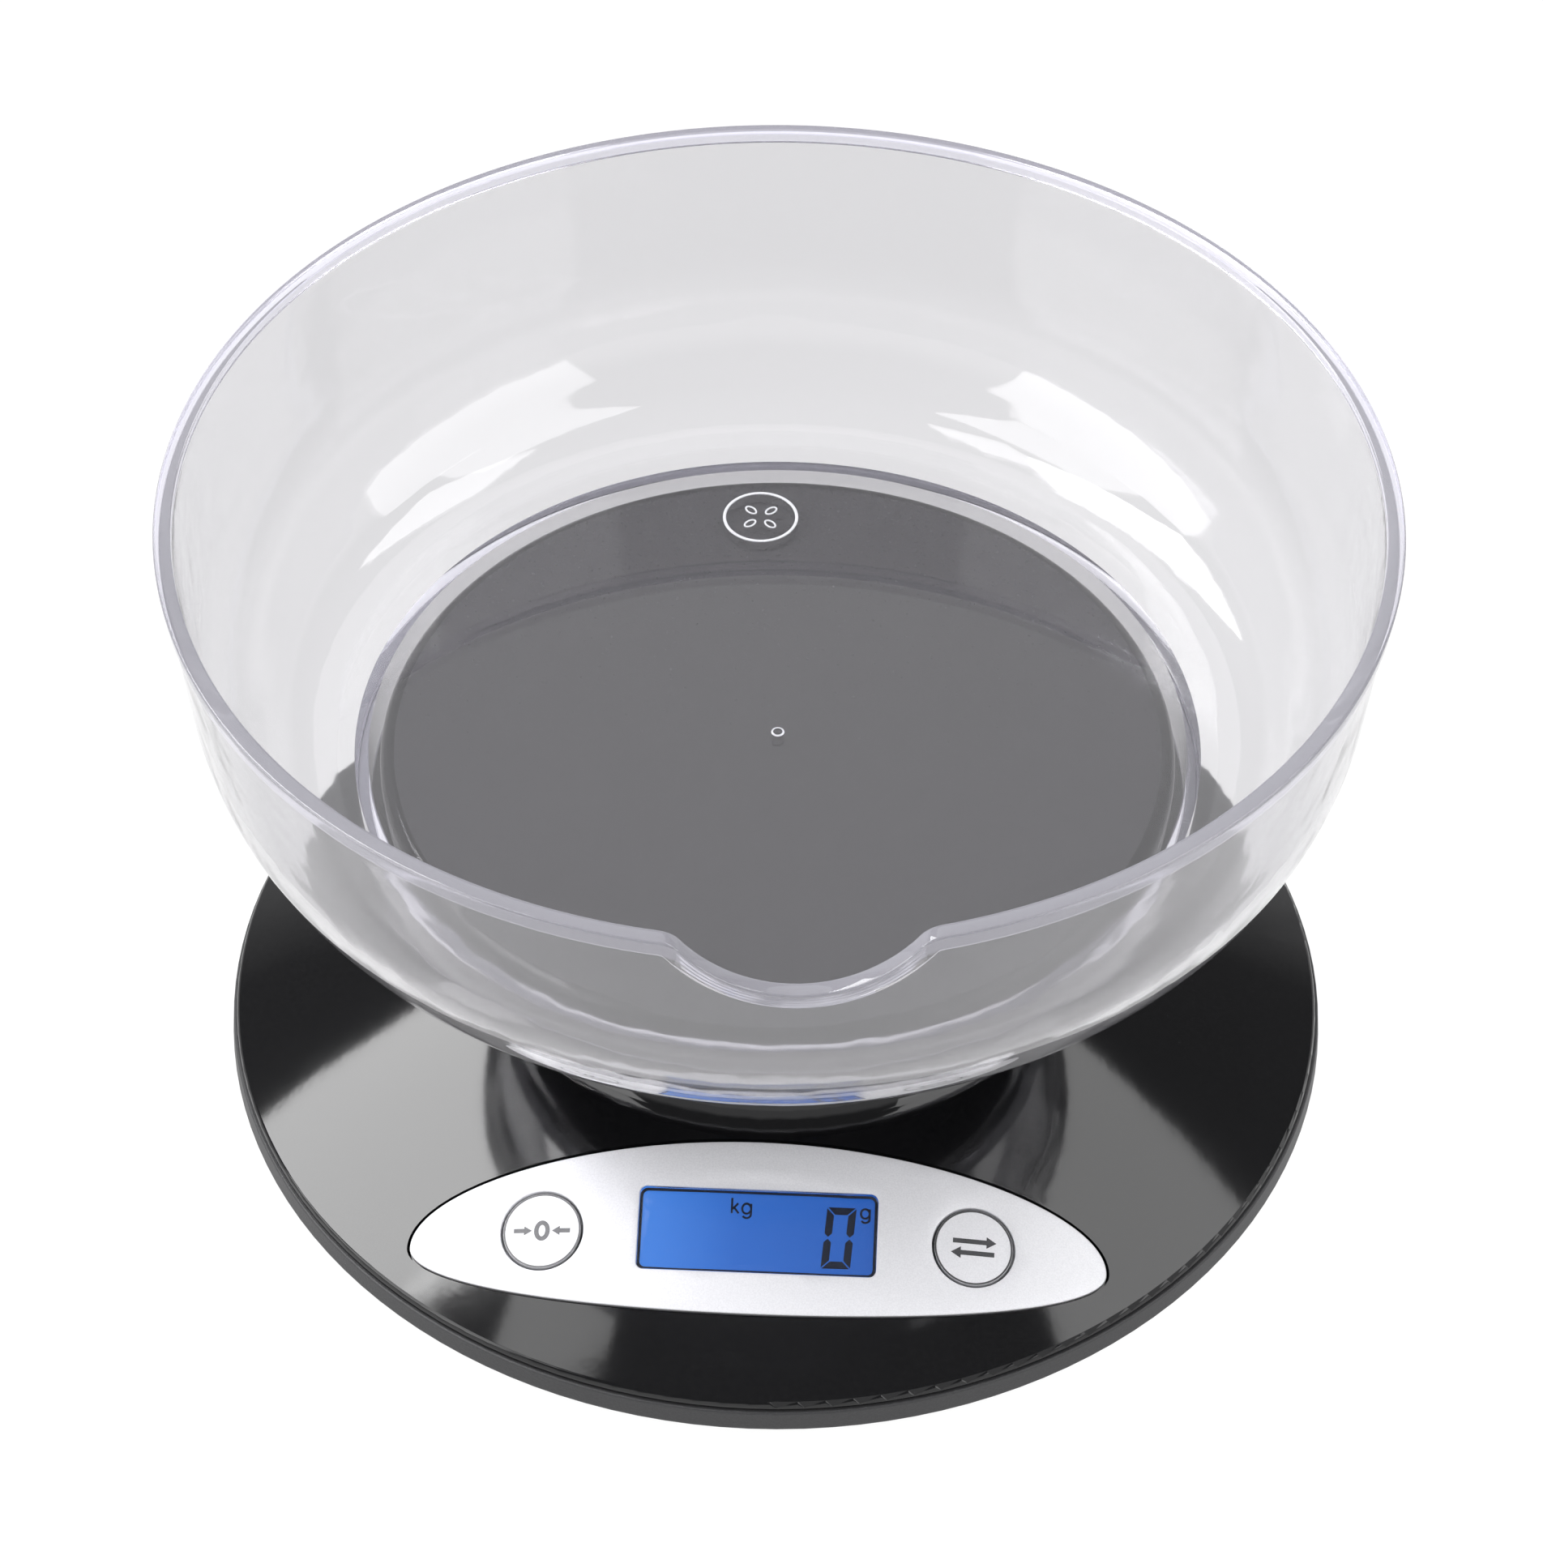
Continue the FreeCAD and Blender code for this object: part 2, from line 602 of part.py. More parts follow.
def platform_screws():
    screws = []
    seat = CARRIER_TOP - CARRIER_LID
    for angle in PLATFORM_SCREW_ANGLES:
        x, y = polar(PLATFORM_SCREW_CIRCLE, angle)
        bottom = seat - SCREW_HEAD_HEIGHT
        head = cylinder(x, y, bottom, seat, SCREW_HEAD_RADIUS)
        shank = cylinder(x, y, seat, PLATFORM_TOP - 1.8, SCREW_RADIUS)
        screws.append(joined(head, [shank]).cut(screw_slot(x, y, bottom)))
    return Part.makeCompound(screws)


# ---- bowl ---------------------------------------------------------------------------------
FLOOR_CORNER = (85.5, PLATFORM_TOP, 18.0)
WALL_CORNER = (99.6, 86.0, 38.0)
WALL_TOP_RADIUS = 103.1
WALL_TOP_Z = BOWL_TOP - LIP_HEIGHT
FOOT_RING = (71.4, 73.8)
FOOT_RING_Z = 56.6
GATE_RADIUS = 1.1            # the moulding's gate mark in the middle of the floor
GATE_HEIGHT = 0.25


def notch_edges(offset, far_x, far_z):
    """Closed outline of what lies above the rim line, with the pouring notch dipping into it.

    The offset moves the line down by that much, for the lower edge of the lip.
    """
    line_z = BOWL_TOP - offset
    centre_z = BOWL_TOP - NOTCH_DEPTH + NOTCH_RADIUS
    radius = NOTCH_RADIUS + offset
    shoulder = NOTCH_SHOULDER - offset
    shoulder_z = BOWL_TOP - NOTCH_SHOULDER
    shoulder_x = math.sqrt((NOTCH_RADIUS + NOTCH_SHOULDER) ** 2 - (centre_z - shoulder_z) ** 2)
    scale = radius / (NOTCH_RADIUS + NOTCH_SHOULDER)
    touch_x = shoulder_x * scale
    touch_z = centre_z + (shoulder_z - centre_z) * scale
    turn = math.atan2(line_z - shoulder_z, 0)
    bisect = (turn + math.atan2(touch_z - shoulder_z, touch_x - shoulder_x)) / 2
    crest_x = shoulder_x + shoulder * math.cos(bisect)
    crest_z = shoulder_z + shoulder * math.sin(bisect)
    return [
        Part.LineSegment(flat_xz(-far_x, far_z), flat_xz(-far_x, line_z)).toShape(),
        Part.LineSegment(flat_xz(-far_x, line_z), flat_xz(-shoulder_x, line_z)).toShape(),
        Part.Arc(flat_xz(-shoulder_x, line_z), flat_xz(-crest_x, crest_z), flat_xz(-touch_x, touch_z)).toShape(),
        Part.Arc(flat_xz(-touch_x, touch_z), flat_xz(0, centre_z - radius), flat_xz(touch_x, touch_z)).toShape(),
        Part.Arc(flat_xz(touch_x, touch_z), flat_xz(crest_x, crest_z), flat_xz(shoulder_x, line_z)).toShape(),
        Part.LineSegment(flat_xz(shoulder_x, line_z), flat_xz(far_x, line_z)).toShape(),
        Part.LineSegment(flat_xz(far_x, line_z), flat_xz(far_x, far_z)).toShape(),
        Part.LineSegment(flat_xz(far_x, far_z), flat_xz(-far_x, far_z)).toShape(),
    ]


def front_prism(offset, far_z):
    face = Part.Face(Part.Wire(notch_edges(offset, 60.0, far_z)))
    face.translate(Vector(0, -120.0, 0))
    return face.extrude(Vector(0, 60.0, 0))


def bowl():
    outside = [
        (FOOT_RING[1], PLATFORM_TOP, 0),
        FLOOR_CORNER,
        WALL_CORNER,
        (WALL_TOP_RADIUS, BOWL_TOP, 0),
    ]
    inside = parallel_path([(0, PLATFORM_TOP, 0)] + outside[1:], BOWL_WALL)
    inside[-1] = (inside[-1][0], BOWL_TOP, 0)
    shell = lathe(outside[1:] + inside[::-1] + [(0, PLATFORM_TOP, 0)])
    deepest = BOWL_TOP - NOTCH_DEPTH - LIP_HEIGHT - 2.0
    lean = (WALL_TOP_RADIUS - WALL_CORNER[0]) / (BOWL_TOP - WALL_CORNER[1])
    drop = BOWL_TOP - deepest
    band = lathe([
        (WALL_TOP_RADIUS - drop * lean - 1.0, deepest, 0),
        (WALL_TOP_RADIUS - drop * lean + LIP_PROUD, deepest, 0),
        (WALL_TOP_RADIUS + LIP_PROUD, BOWL_TOP, 0.5),
        (WALL_TOP_RADIUS - 1.0, BOWL_TOP, 0),
    ])
    upper_band = cylinder(0, 0, WALL_TOP_Z, BOWL_TOP, 120.0)
    front_region = block((-60, -120, 0), (60, -60, 200))
    around = band.common(upper_band).cut(front_region)
    front = band.common(front_region).common(front_prism(LIP_HEIGHT, 200.0))
    whole = shell.fuse([around, front]).cut(front_prism(0, 200.0)).removeSplitter()
    floor_z = PLATFORM_TOP + BOWL_WALL
    gate = lathe([
        (0, floor_z - 0.3, 0),
        (GATE_RADIUS, floor_z - 0.3, 0),
        (GATE_RADIUS, floor_z + GATE_HEIGHT, 0.1),
        (0, floor_z + GATE_HEIGHT, 0),
    ])
    whole = whole.fuse(gate).removeSplitter()
    whole.rotate(Vector(0, 0, 0), UP, BOWL_TURN)
    return whole


def bowl_foot_ring():
    """The ring under the bowl's floor that drops round the platform and keeps the bowl centred."""
    return lathe([
        (FOOT_RING[0], PLATFORM_TOP, 0),
        (FOOT_RING[0], FOOT_RING_Z, 0),
        (FOOT_RING[1], FOOT_RING_Z, 0.6),
        (FOOT_RING[1], PLATFORM_TOP, 0),
    ])


# ---- display and buttons ------------------------------------------------------------------
GLASS_N = (-4.9, -2.9)
LIGHT_N = (-7.9, -4.9)
HOLDER_TOP_N = -3.3
GLASS_SIZE = (45.0, 19.0)
HOLDER_SIZE = (49.0, 22.4)
BUTTON_BOTTOM_N = -7.4
SWITCH_HEIGHT = 1.5
STEM_RADIUS = 1.75


def display_panel():
    sheet = cone_layer(0, PANEL_THICKNESS).common(on_panel(panel_outline(0, -30, 10)))
    cuts = [on_panel(window_prism(0, -30, 10))]
    for side in (-1, 1):
        cuts.append(on_panel(cylinder(side * BUTTON_S, BUTTON_T, -30, 10, BUTTON_HOLE_RADIUS)))
    return sheet.cut(cuts)


def lcd_window():
    return cone_layer(0.15, PANEL_THICKNESS).common(on_panel(window_prism(0.1, -30, 10)))


def lcd_glass():
    return on_panel(plate(GLASS_SIZE[0], GLASS_SIZE[1], 0.3, GLASS_N[0], GLASS_N[1], (0, WINDOW_CENTRE_T)))


def lcd_backlight():
    return on_panel(plate(43.0, 15.6, 0.5, LIGHT_N[0], LIGHT_N[1], (0, WINDOW_CENTRE_T - 0.8)))


def lcd_holder():
    ring = plate(HOLDER_SIZE[0], HOLDER_SIZE[1], 1.5, BOARD_N, HOLDER_TOP_N, (0, WINDOW_CENTRE_T))
    well = plate(GLASS_SIZE[0] + 0.4, GLASS_SIZE[1] + 0.4, 0.4, BOARD_N, HOLDER_TOP_N, (0, WINDOW_CENTRE_T))
    return on_panel(ring.cut(well))


def lcd_connector():
    strip_t = WINDOW_CENTRE_T + GLASS_SIZE[1] / 2 - 1.0
    return on_panel(block((-19, strip_t - 0.8, BOARD_N), (19, strip_t + 0.8, GLASS_N[0])))


def main_board():
    board = plate(96.0, 22.6, 1.5, BOARD_N - BOARD_THICKNESS, BOARD_N, (0, WINDOW_CENTRE_T))
    holes = []
    for s, t in BOARD_SCREWS:
        holes.append(cylinder(s, t, BOARD_N - BOARD_THICKNESS, BOARD_N, 1.2))
    return on_panel(board.cut(holes))


def board_screws():
    screws = []
    seat = BOARD_N - BOARD_THICKNESS
    for s, t in BOARD_SCREWS:
        head = cylinder(s, t, seat - 1.2, seat, 1.9)
        screws.append(on_panel(joined(head, [cylinder(s, t, seat, -7.6, BOARD_SCREW_RADIUS)])))
    return Part.makeCompound(screws)


def board_parts():
    """The controller under its round blob, a crystal can and two capacitors, under the board."""
    seat = BOARD_N - BOARD_THICKNESS
    blob = Part.makeCone(3.6, 5.0, 1.4, Vector(-8, 3, seat - 1.4))
    crystal = plate(8.0, 3.2, 1.2, seat - 1.8, seat, (14, 6))
    first = cylinder(24, 5, seat - 3.0, seat, 2.0)
    second = cylinder(30, 5, seat - 3.0, seat, 2.0)
    return Part.makeCompound([on_panel(piece) for piece in (blob, crystal, first, second)])


def button(side):
    s = side * BUTTON_S
    flange_top = -6.9
    barrel = on_panel(cylinder(s, BUTTON_T, BUTTON_BOTTOM_N, 4.0, BUTTON_RADIUS))
    above = cone_layer(-20.0, 0)
    cap = barrel.cut(above)
    flange = on_panel(cylinder(s, BUTTON_T, BUTTON_BOTTOM_N, flange_top, 7.9))
    well = on_panel(cylinder(s, BUTTON_T, BUTTON_BOTTOM_N, -6.0, 5.4))
    post = on_panel(cylinder(s, BUTTON_T, BUTTON_BOTTOM_N, -6.0, 1.6))
    return joined(cap, [flange]).cut(well.cut(post))


def switch_body(side):
    s = side * BUTTON_S
    top = BOARD_N + SWITCH_HEIGHT
    body = plate(6.0, 6.0, 0.5, BOARD_N, top, (s, BUTTON_T))
    return on_panel(body.cut(cylinder(s, BUTTON_T, top - 1.2, top, STEM_RADIUS + 0.1)))


def switch_stem(side):
    top = BOARD_N + SWITCH_HEIGHT
    return on_panel(cylinder(side * BUTTON_S, BUTTON_T, top - 0.7, BUTTON_BOTTOM_N, STEM_RADIUS))


# ---- wires --------------------------------------------------------------------------------
def load_cell_wires():
    return tube([(-8.0, -6.35, 18.2), (-8.0, -24.0, 18.2), (-12.0, -42.0, 14.0), (-12.0, -54.0, 11.6)], 1.1, 9.0)


def battery_wires():
    route = [
        (-27.5, 42.0, 10.0),
        (-42.0, 42.0, 10.0),
        (-50.0, 22.0, 8.0),
        (-50.0, -24.0, 8.0),
        (-34.0, -44.0, 10.5),
        (-30.0, -55.0, 11.2),
    ]
    return tube(route, 0.9, 8.0)


PARTS = {
    "upper_housing": upper_housing,
    "lower_housing": lower_housing,
    "housing_screws": housing_screws,
    "foot_front_left": lambda: foot(225),
    "foot_front_right": lambda: foot(315),
    "foot_back_left": lambda: foot(135),
    "foot_back_right": lambda: foot(45),
    "battery_door": battery_door,
    "battery_1": lambda: battery(0, 1),
    "battery_2": lambda: battery(1, -1),
    "battery_spring_contacts": lambda: contact_set(True),
    "battery_plate_contacts": lambda: contact_set(False),
    "load_cell": load_cell,
    "strain_gauge_covers": strain_gauge_covers,
    "load_cell_base_screws": lambda: cell_screws(True),
    "load_cell_spacer": load_cell_spacer,
    "load_cell_top_screws": lambda: cell_screws(False),
    "load_cell_wires": load_cell_wires,
    "battery_wires": battery_wires,
    "platform_carrier": platform_carrier,
    "platform_screws": platform_screws,
    "platform": platform,
    "bowl": bowl,
    "bowl_foot_ring": bowl_foot_ring,
    "display_panel": display_panel,
    "lcd_window": lcd_window,
    "lcd_glass": lcd_glass,
    "lcd_backlight": lcd_backlight,
    "lcd_holder": lcd_holder,
    "lcd_connector": lcd_connector,
    "main_board": main_board,
    "board_screws": board_screws,
    "board_parts": board_parts,
    "tare_button": lambda: button(-1),
    "mode_button": lambda: button(1),
    "tare_switch_body": lambda: switch_body(-1),
    "mode_switch_body": lambda: switch_body(1),
    "tare_switch_stem": lambda: switch_stem(-1),
    "mode_switch_stem": lambda: switch_stem(1),
}

os.makedirs("parts", exist_ok=True)
for name, make in PARTS.items():
    shape = make()
    shape.exportStep(f"parts/{name}.step")
    box = shape.BoundBox
    print(f"{name}: solids {len(shape.Solids)}, valid {shape.isValid()}, volume {shape.Volume:.0f}, "
          f"z {box.ZMin:.2f}..{box.ZMax:.2f}")
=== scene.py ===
"""Kitchen scale: detailed pieces, finishes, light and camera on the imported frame.

Lengths in the helper functions are millimetres; meshes are written in metres. +Z is up,
the display faces -Y, and the origin is the centre of the base on the table.
"""
import json
import math

import bmesh
import bpy
from mathutils import Matrix, Vector
from mathutils.geometry import delaunay_2d_cdt


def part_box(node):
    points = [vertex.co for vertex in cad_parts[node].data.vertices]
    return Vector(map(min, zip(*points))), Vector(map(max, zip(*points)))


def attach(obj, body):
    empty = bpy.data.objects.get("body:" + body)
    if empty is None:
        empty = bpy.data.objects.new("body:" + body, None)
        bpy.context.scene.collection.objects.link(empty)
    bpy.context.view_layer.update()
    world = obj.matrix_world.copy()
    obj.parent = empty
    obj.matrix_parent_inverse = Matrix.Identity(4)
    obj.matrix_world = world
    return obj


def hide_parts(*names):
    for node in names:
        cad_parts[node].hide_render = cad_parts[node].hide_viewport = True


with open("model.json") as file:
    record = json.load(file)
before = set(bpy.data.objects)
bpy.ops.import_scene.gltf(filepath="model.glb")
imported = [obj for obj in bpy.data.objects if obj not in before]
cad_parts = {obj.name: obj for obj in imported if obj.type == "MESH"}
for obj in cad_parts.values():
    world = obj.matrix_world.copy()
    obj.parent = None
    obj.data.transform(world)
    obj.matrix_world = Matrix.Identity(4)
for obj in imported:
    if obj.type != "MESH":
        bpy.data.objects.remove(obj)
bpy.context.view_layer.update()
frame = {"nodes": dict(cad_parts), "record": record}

MM = 0.001


def frame_mm(node, side, axis):
    """One side of a node's box in millimetres: side 0 is the low one and 1 the high one, axis 0 is X."""
    return round(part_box(node)[side][axis] / MM, 2)


# ---- dimensions read from the frame ---------------------------------------------------------
RIM_RADIUS = frame_mm("upper_housing", 1, 0)
PANEL_HALF_WIDTH = frame_mm("display_panel", 1, 0)
BUTTON_S = (frame_mm("mode_button", 1, 0) - frame_mm("tare_button", 1, 0)) / 2
PLATFORM_RADIUS = frame_mm("platform", 1, 0)
PLATFORM_TOP = frame_mm("platform", 1, 2)
PLATFORM_SKIRT_Z = frame_mm("platform", 0, 2)
BOWL_TOP = frame_mm("bowl", 1, 2)
FOOT_RING_Z = frame_mm("bowl_foot_ring", 0, 2)
FOOT_RING_RADIUS = frame_mm("bowl_foot_ring", 1, 0)

# ---- dimensions that are the same in the CAD ------------------------------------------------
RIM_Z = 7.8
CONE_ANGLE = math.radians(22.0)
SLOPE = math.tan(CONE_ANGLE)
CONE_COS = math.cos(CONE_ANGLE)
CONE_SIN = math.sin(CONE_ANGLE)
PANEL_RADIUS_AT_CENTRE = 69.75
PANEL_RISE = 18.8
PANEL_DROP = 12.05
PANEL_TIP_T = -3.5
PANEL_THICKNESS = 1.2
WINDOW_SIZE = (41.2, 15.0)
WINDOW_CENTRE_T = -0.45
WINDOW_CORNER = 1.3
BUTTON_T = -1.1
BUTTON_HOLE_RADIUS = 7.2
BUTTON_RADIUS = 6.75
LCD_TOP_N = -2.9

PLATFORM_WALL = 2.4

BOWL_WALL = 2.3
BOWL_TURN = 4.5               # degrees: the notch is turned a little from the display
NOTCH_RADIUS = 22.4
NOTCH_DEPTH = 11.0
NOTCH_SHOULDER = 4.0
LIP_HEIGHT = 3.0
LIP_PROUD = 0.7
FOOT_RING_WALL = 2.4
FLOOR_CORNER = (85.5, PLATFORM_TOP)
FLOOR_ROUND = 18.0
WALL_CORNER = (99.6, 86.0)
WALL_ROUND = 38.0
WALL_TOP_RADIUS = 103.1
WALL_LEAN = (WALL_TOP_RADIUS - WALL_CORNER[0]) / (BOWL_TOP - WALL_CORNER[1])

# ---- dimensions of the added detail ---------------------------------------------------------
FOOT_GAP = 0.04               # the floor's underside stands this far over the platform's top
RIM_ROUND = 0.45              # rounding of the bowl's upper edges
LIP_ROUND = 0.2               # rounding of the lip's lower edge
INNER_EDGE_DEPTH = 0.3        # the rim's lilac finish with its painted glow goes down this far inside
FOOT_EDGE_RISE = 0.3          # and this far up from the foot ring's lower edge
RIDGE_HEIGHT = 0.12           # fine ridges under the notch, parallel to its edge
RIDGE_END = 12.2              # degrees from the notch's middle where they have died out
RIDGE_FADE = 2.0              # degrees over which they die out
WALL_FINISH_RADIUS = 75.0     # outside this the clear plastic is slightly hazier
GATE_RADIUS = 1.15            # the nub in the middle of the floor, where the mould was filled
GATE_RISE = 0.25
GATE_RING = (0.8, 1.15, 0.12, 0.05)     # inner and outer radius, height and rounding
MARK_CENTRE = (-5.8, 56.6)    # the round mark in the floor, near its back
MARK_RING = (6.35, 6.9, 0.16, 0.07)
PETAL_REACH = 2.6             # from the mark's middle to a petal's middle
PETAL_HALF_SIZE = (1.35, 0.85)
PETAL_LINE = 0.32
PETAL_RISE = 0.14
PETAL_EDGE = 0.06

SHOULDER_ROUND = 2.5          # the platform's glossy shoulder
PLATFORM_FLAT = 66.0

PANEL_BACK = -PANEL_THICKNESS + 0.02
PANEL_EDGE = 0.22             # rounding of the panel's edges
PANEL_CELLS = 2.2             # spacing of the points inside it
LENS_TOP = -0.15              # the window's faces, measured from the panel's face
LENS_BOTTOM = -1.15
LENS_GAP = 0.1                # this much smaller than its hole, over both sides
LENS_EDGE = 0.04
LENS_CELLS = 2.0
BORDER_TOP = -1.17            # the black border printed behind the window
BORDER_BOTTOM = -1.24
BORDER_GAP = 0.3
BORDER_WIDTH = 0.5
BORDER_EDGE = 0.01
DIGIT_CENTRE = (13.95, -0.65)
DIGIT_SIZE = (5.05, 11.0)
DIGIT_SLANT = 0.07
SEGMENT = 1.3
SEGMENT_GAP = 0.16
UNIT_K = (-4.1, 4.0, 1.75, 0.36)    # a letter's middle, its size and the width of its line
UNIT_KG = (-2.1, 4.0, 1.75, 0.36)
UNIT_G = (18.35, 3.9, 1.7, 0.38)
INK_BOTTOM = LCD_TOP_N + 0.01
INK_TOP = LCD_TOP_N + 0.05
SIGN_BOTTOM = 0.005
SIGN_TOP = 0.04
# Ring printed at each key's edge: painted shade that widens the dark gap round the key.
SHADE_RING_GAP = 0.03
SHADE_RING_WIDTH = 0.33
SHADE_RING_TOP = 0.05
SHADE_RING_EDGE = 0.015
FEW_CELLS = 50.0              # a spacing so wide that a shape gets no points inside it


# ---- mesh helpers ---------------------------------------------------------------------------
def mesh_object(name, points, faces, sharp):
    """A smooth-shaded object from points in millimetres, creased where faces turn sharply."""
    mesh = bpy.data.meshes.new(name)
    mesh.from_pydata([(x * MM, y * MM, z * MM) for x, y, z in points], [], faces)
    mesh.validate()
    work = bmesh.new()
    work.from_mesh(mesh)
    bmesh.ops.remove_doubles(work, verts=work.verts, dist=1e-7)
    bmesh.ops.recalc_face_normals(work, faces=work.faces)
    work.to_mesh(mesh)
    work.free()
    mesh.polygons.foreach_set("use_smooth", [True] * len(mesh.polygons))
    mesh.set_sharp_from_angle(angle=math.radians(sharp))
    item = bpy.data.objects.new(name, mesh)
    bpy.context.scene.collection.objects.link(item)
    return item


def rounded_path(corners, step):
    """Points along (r, z, rounding) corners, with a short-stepped arc where a corner is rounded."""
    points = []
    for i, (r, z, radius) in enumerate(corners):
        here = Vector((r, z))
        if radius <= 0:
            points.append(here)
            continue
        back = (Vector(corners[i - 1][:2]) - here).normalized()
        ahead = (Vector(corners[i + 1][:2]) - here).normalized()
        half = back.angle(ahead) / 2
        centre = here + (back + ahead).normalized() * (radius / math.sin(half))
        start = here + back * (radius / math.tan(half)) - centre
        turn = math.pi - 2 * half
        if start.x * ahead.y - start.y * ahead.x < 0:
            turn = -turn
        pieces = max(3, math.ceil(abs(math.degrees(turn)) / step))
        for k in range(pieces + 1):
            angle = turn * k / pieces
            cos, sin = math.cos(angle), math.sin(angle)
            points.append(centre + Vector((start.x * cos - start.y * sin, start.x * sin + start.y * cos)))
    return points


def turned_skin(name, columns, directions, sharp):
    """A skin through columns of (r, z) points, each at its own angle about Z.

    All columns have as many points as the first. A point on the axis is shared by all of them.
    """
    points = []
    rings = []
    for j, (first_r, first_z) in enumerate(columns[0]):
        if first_r < 1e-6:
            rings.append([len(points)] * len(columns))
            points.append((0, 0, first_z))
            continue
        rings.append(list(range(len(points), len(points) + len(columns))))
        for column, angle in zip(columns, directions):
            r, z = column[j]
            points.append((r * math.cos(angle), r * math.sin(angle), z))
    faces = []
    for ring, following in zip(rings, rings[1:]):
        for k in range(len(columns)):
            m = (k + 1) % len(columns)
            corners = [ring[k], ring[m], following[m], following[k]]
            face = [c for n, c in enumerate(corners) if c not in corners[:n]]
            if len(face) > 2:
                faces.append(face)
    return mesh_object(name, points, faces, sharp)


# ---- the panel frame: s to the right, t up the slope, n out of it ---------------------------
def cone_height(radius):
    """Height of the conical surface at a distance from the axis."""
    return RIM_Z + (RIM_RADIUS - radius) * SLOPE


PANEL_ORIGIN = Vector((0, -PANEL_RADIUS_AT_CENTRE, cone_height(PANEL_RADIUS_AT_CENTRE)))
PANEL_S = Vector((1, 0, 0))
PANEL_T = Vector((0, CONE_COS, CONE_SIN))
PANEL_N = Vector((0, -CONE_SIN, CONE_COS))


def panel_point(s, t, n):
    """A point of the flat plane that touches the cone at the panel's middle."""
    return PANEL_ORIGIN + PANEL_S * s + PANEL_T * t + PANEL_N * n


def on_cone(s, t, lift):
    """The point over (s, t) that stands lift above the conical surface."""
    n = 0.0
    for _ in range(4):
        p = panel_point(s, t, n)
        radius = math.hypot(p.x, p.y)
        error = p.z - cone_height(radius)
        n -= error / (CONE_COS + SLOPE * (-CONE_SIN * p.y) / radius)
    return panel_point(s, t, n + lift)


def circle_outline(s, t, radius, count=96):
    """A circle round (s, t)."""
    return [Vector((s + radius * math.cos(2 * math.pi * k / count),
                    t + radius * math.sin(2 * math.pi * k / count))) for k in range(count)]


def box_outline(width, height, corner, t, step=12):
    """A rounded rectangle whose middle is at (0, t)."""
    points = []
    for quarter, (a, b) in enumerate(((1, 1), (-1, 1), (-1, -1), (1, -1))):
        cs = a * (width / 2 - corner)
        ct = t + b * (height / 2 - corner)
        for k in range(step + 1):
            angle = math.pi / 2 * (quarter + k / step)
            points.append(Vector((cs + corner * math.cos(angle), ct + corner * math.sin(angle))))
    return points


def eye_outline(count=220):
    """The panel's outline: two half ellipses that share their long axis."""
    points = []
    for k in range(count):
        angle = 2 * math.pi * k / count
        height = PANEL_RISE if math.sin(angle) >= 0 else PANEL_DROP
        t = PANEL_TIP_T + height * math.sin(angle)
        points.append(Vector((PANEL_HALF_WIDTH * math.cos(angle), t)))
    return points


def window_outline(less, corner):
    """The window's outline, smaller than its hole by that much over both sides."""
    return box_outline(WINDOW_SIZE[0] - less, WINDOW_SIZE[1] - less, corner, WINDOW_CENTRE_T)


def inset(outline, distance):
    """The outline moved inwards; it runs counter-clockwise."""
    count = len(outline)
    moved = []
    for i, point in enumerate(outline):
        along = (outline[(i + 1) % count] - outline[i - 1]).normalized()
        moved.append(point + Vector((-along.y, along.x)) * distance)
    return moved


def counter_clockwise(outline):
    """The outline, turned round where it runs clockwise."""
    area = sum(outline[i - 1].x * p.y - p.x * outline[i - 1].y for i, p in enumerate(outline))
    return outline[::-1] if area < 0 else outline


def contains(loop, point):
    """Whether a point lies within an outline."""
    hit = False
    for k in range(len(loop)):
        a, b = loop[k], loop[k - 1]
        if (a.y > point.y) != (b.y > point.y):
            if point.x < (b.x - a.x) * (point.y - a.y) / (b.y - a.y) + a.x:
                hit = not hit
    return hit


def fill_flat(outer, holes, spacing):
    """Triangles over a region with holes, with even points inside it."""
    loops = [outer] + holes
    flat = []
    edges = []
    for loop in loops:
        first = len(flat)
        flat.extend(loop)
        edges.extend((first + k, first + (k + 1) % len(loop)) for k in range(len(loop)))

    def on_sheet(point):
        return contains(outer, point) and not any(contains(hole, point) for hole in holes)

    near = spacing * 0.45
    low_x, high_x = min(p.x for p in outer), max(p.x for p in outer)
    low_y, high_y = min(p.y for p in outer), max(p.y for p in outer)
    rim = list(flat)
    row = 0
    y = low_y + spacing / 2
    while y < high_y:
        x = low_x + (spacing / 2 if row % 2 else spacing)
        while x < high_x:
            point = Vector((x, y))
            if on_sheet(point):
                if all(abs(q.x - x) > near or abs(q.y - y) > near for q in rim):
                    flat.append(point)
            x += spacing
        y += spacing * 0.866
        row += 1
    points, _, faces, *_ = delaunay_2d_cdt(flat, edges, [], 0, 1e-6)
    kept = []
    for face in faces:
        centre = sum((points[i] for i in face), Vector((0, 0))) / len(face)
        if on_sheet(centre):
            kept.append(list(face))
    return [Vector(p) for p in points], kept


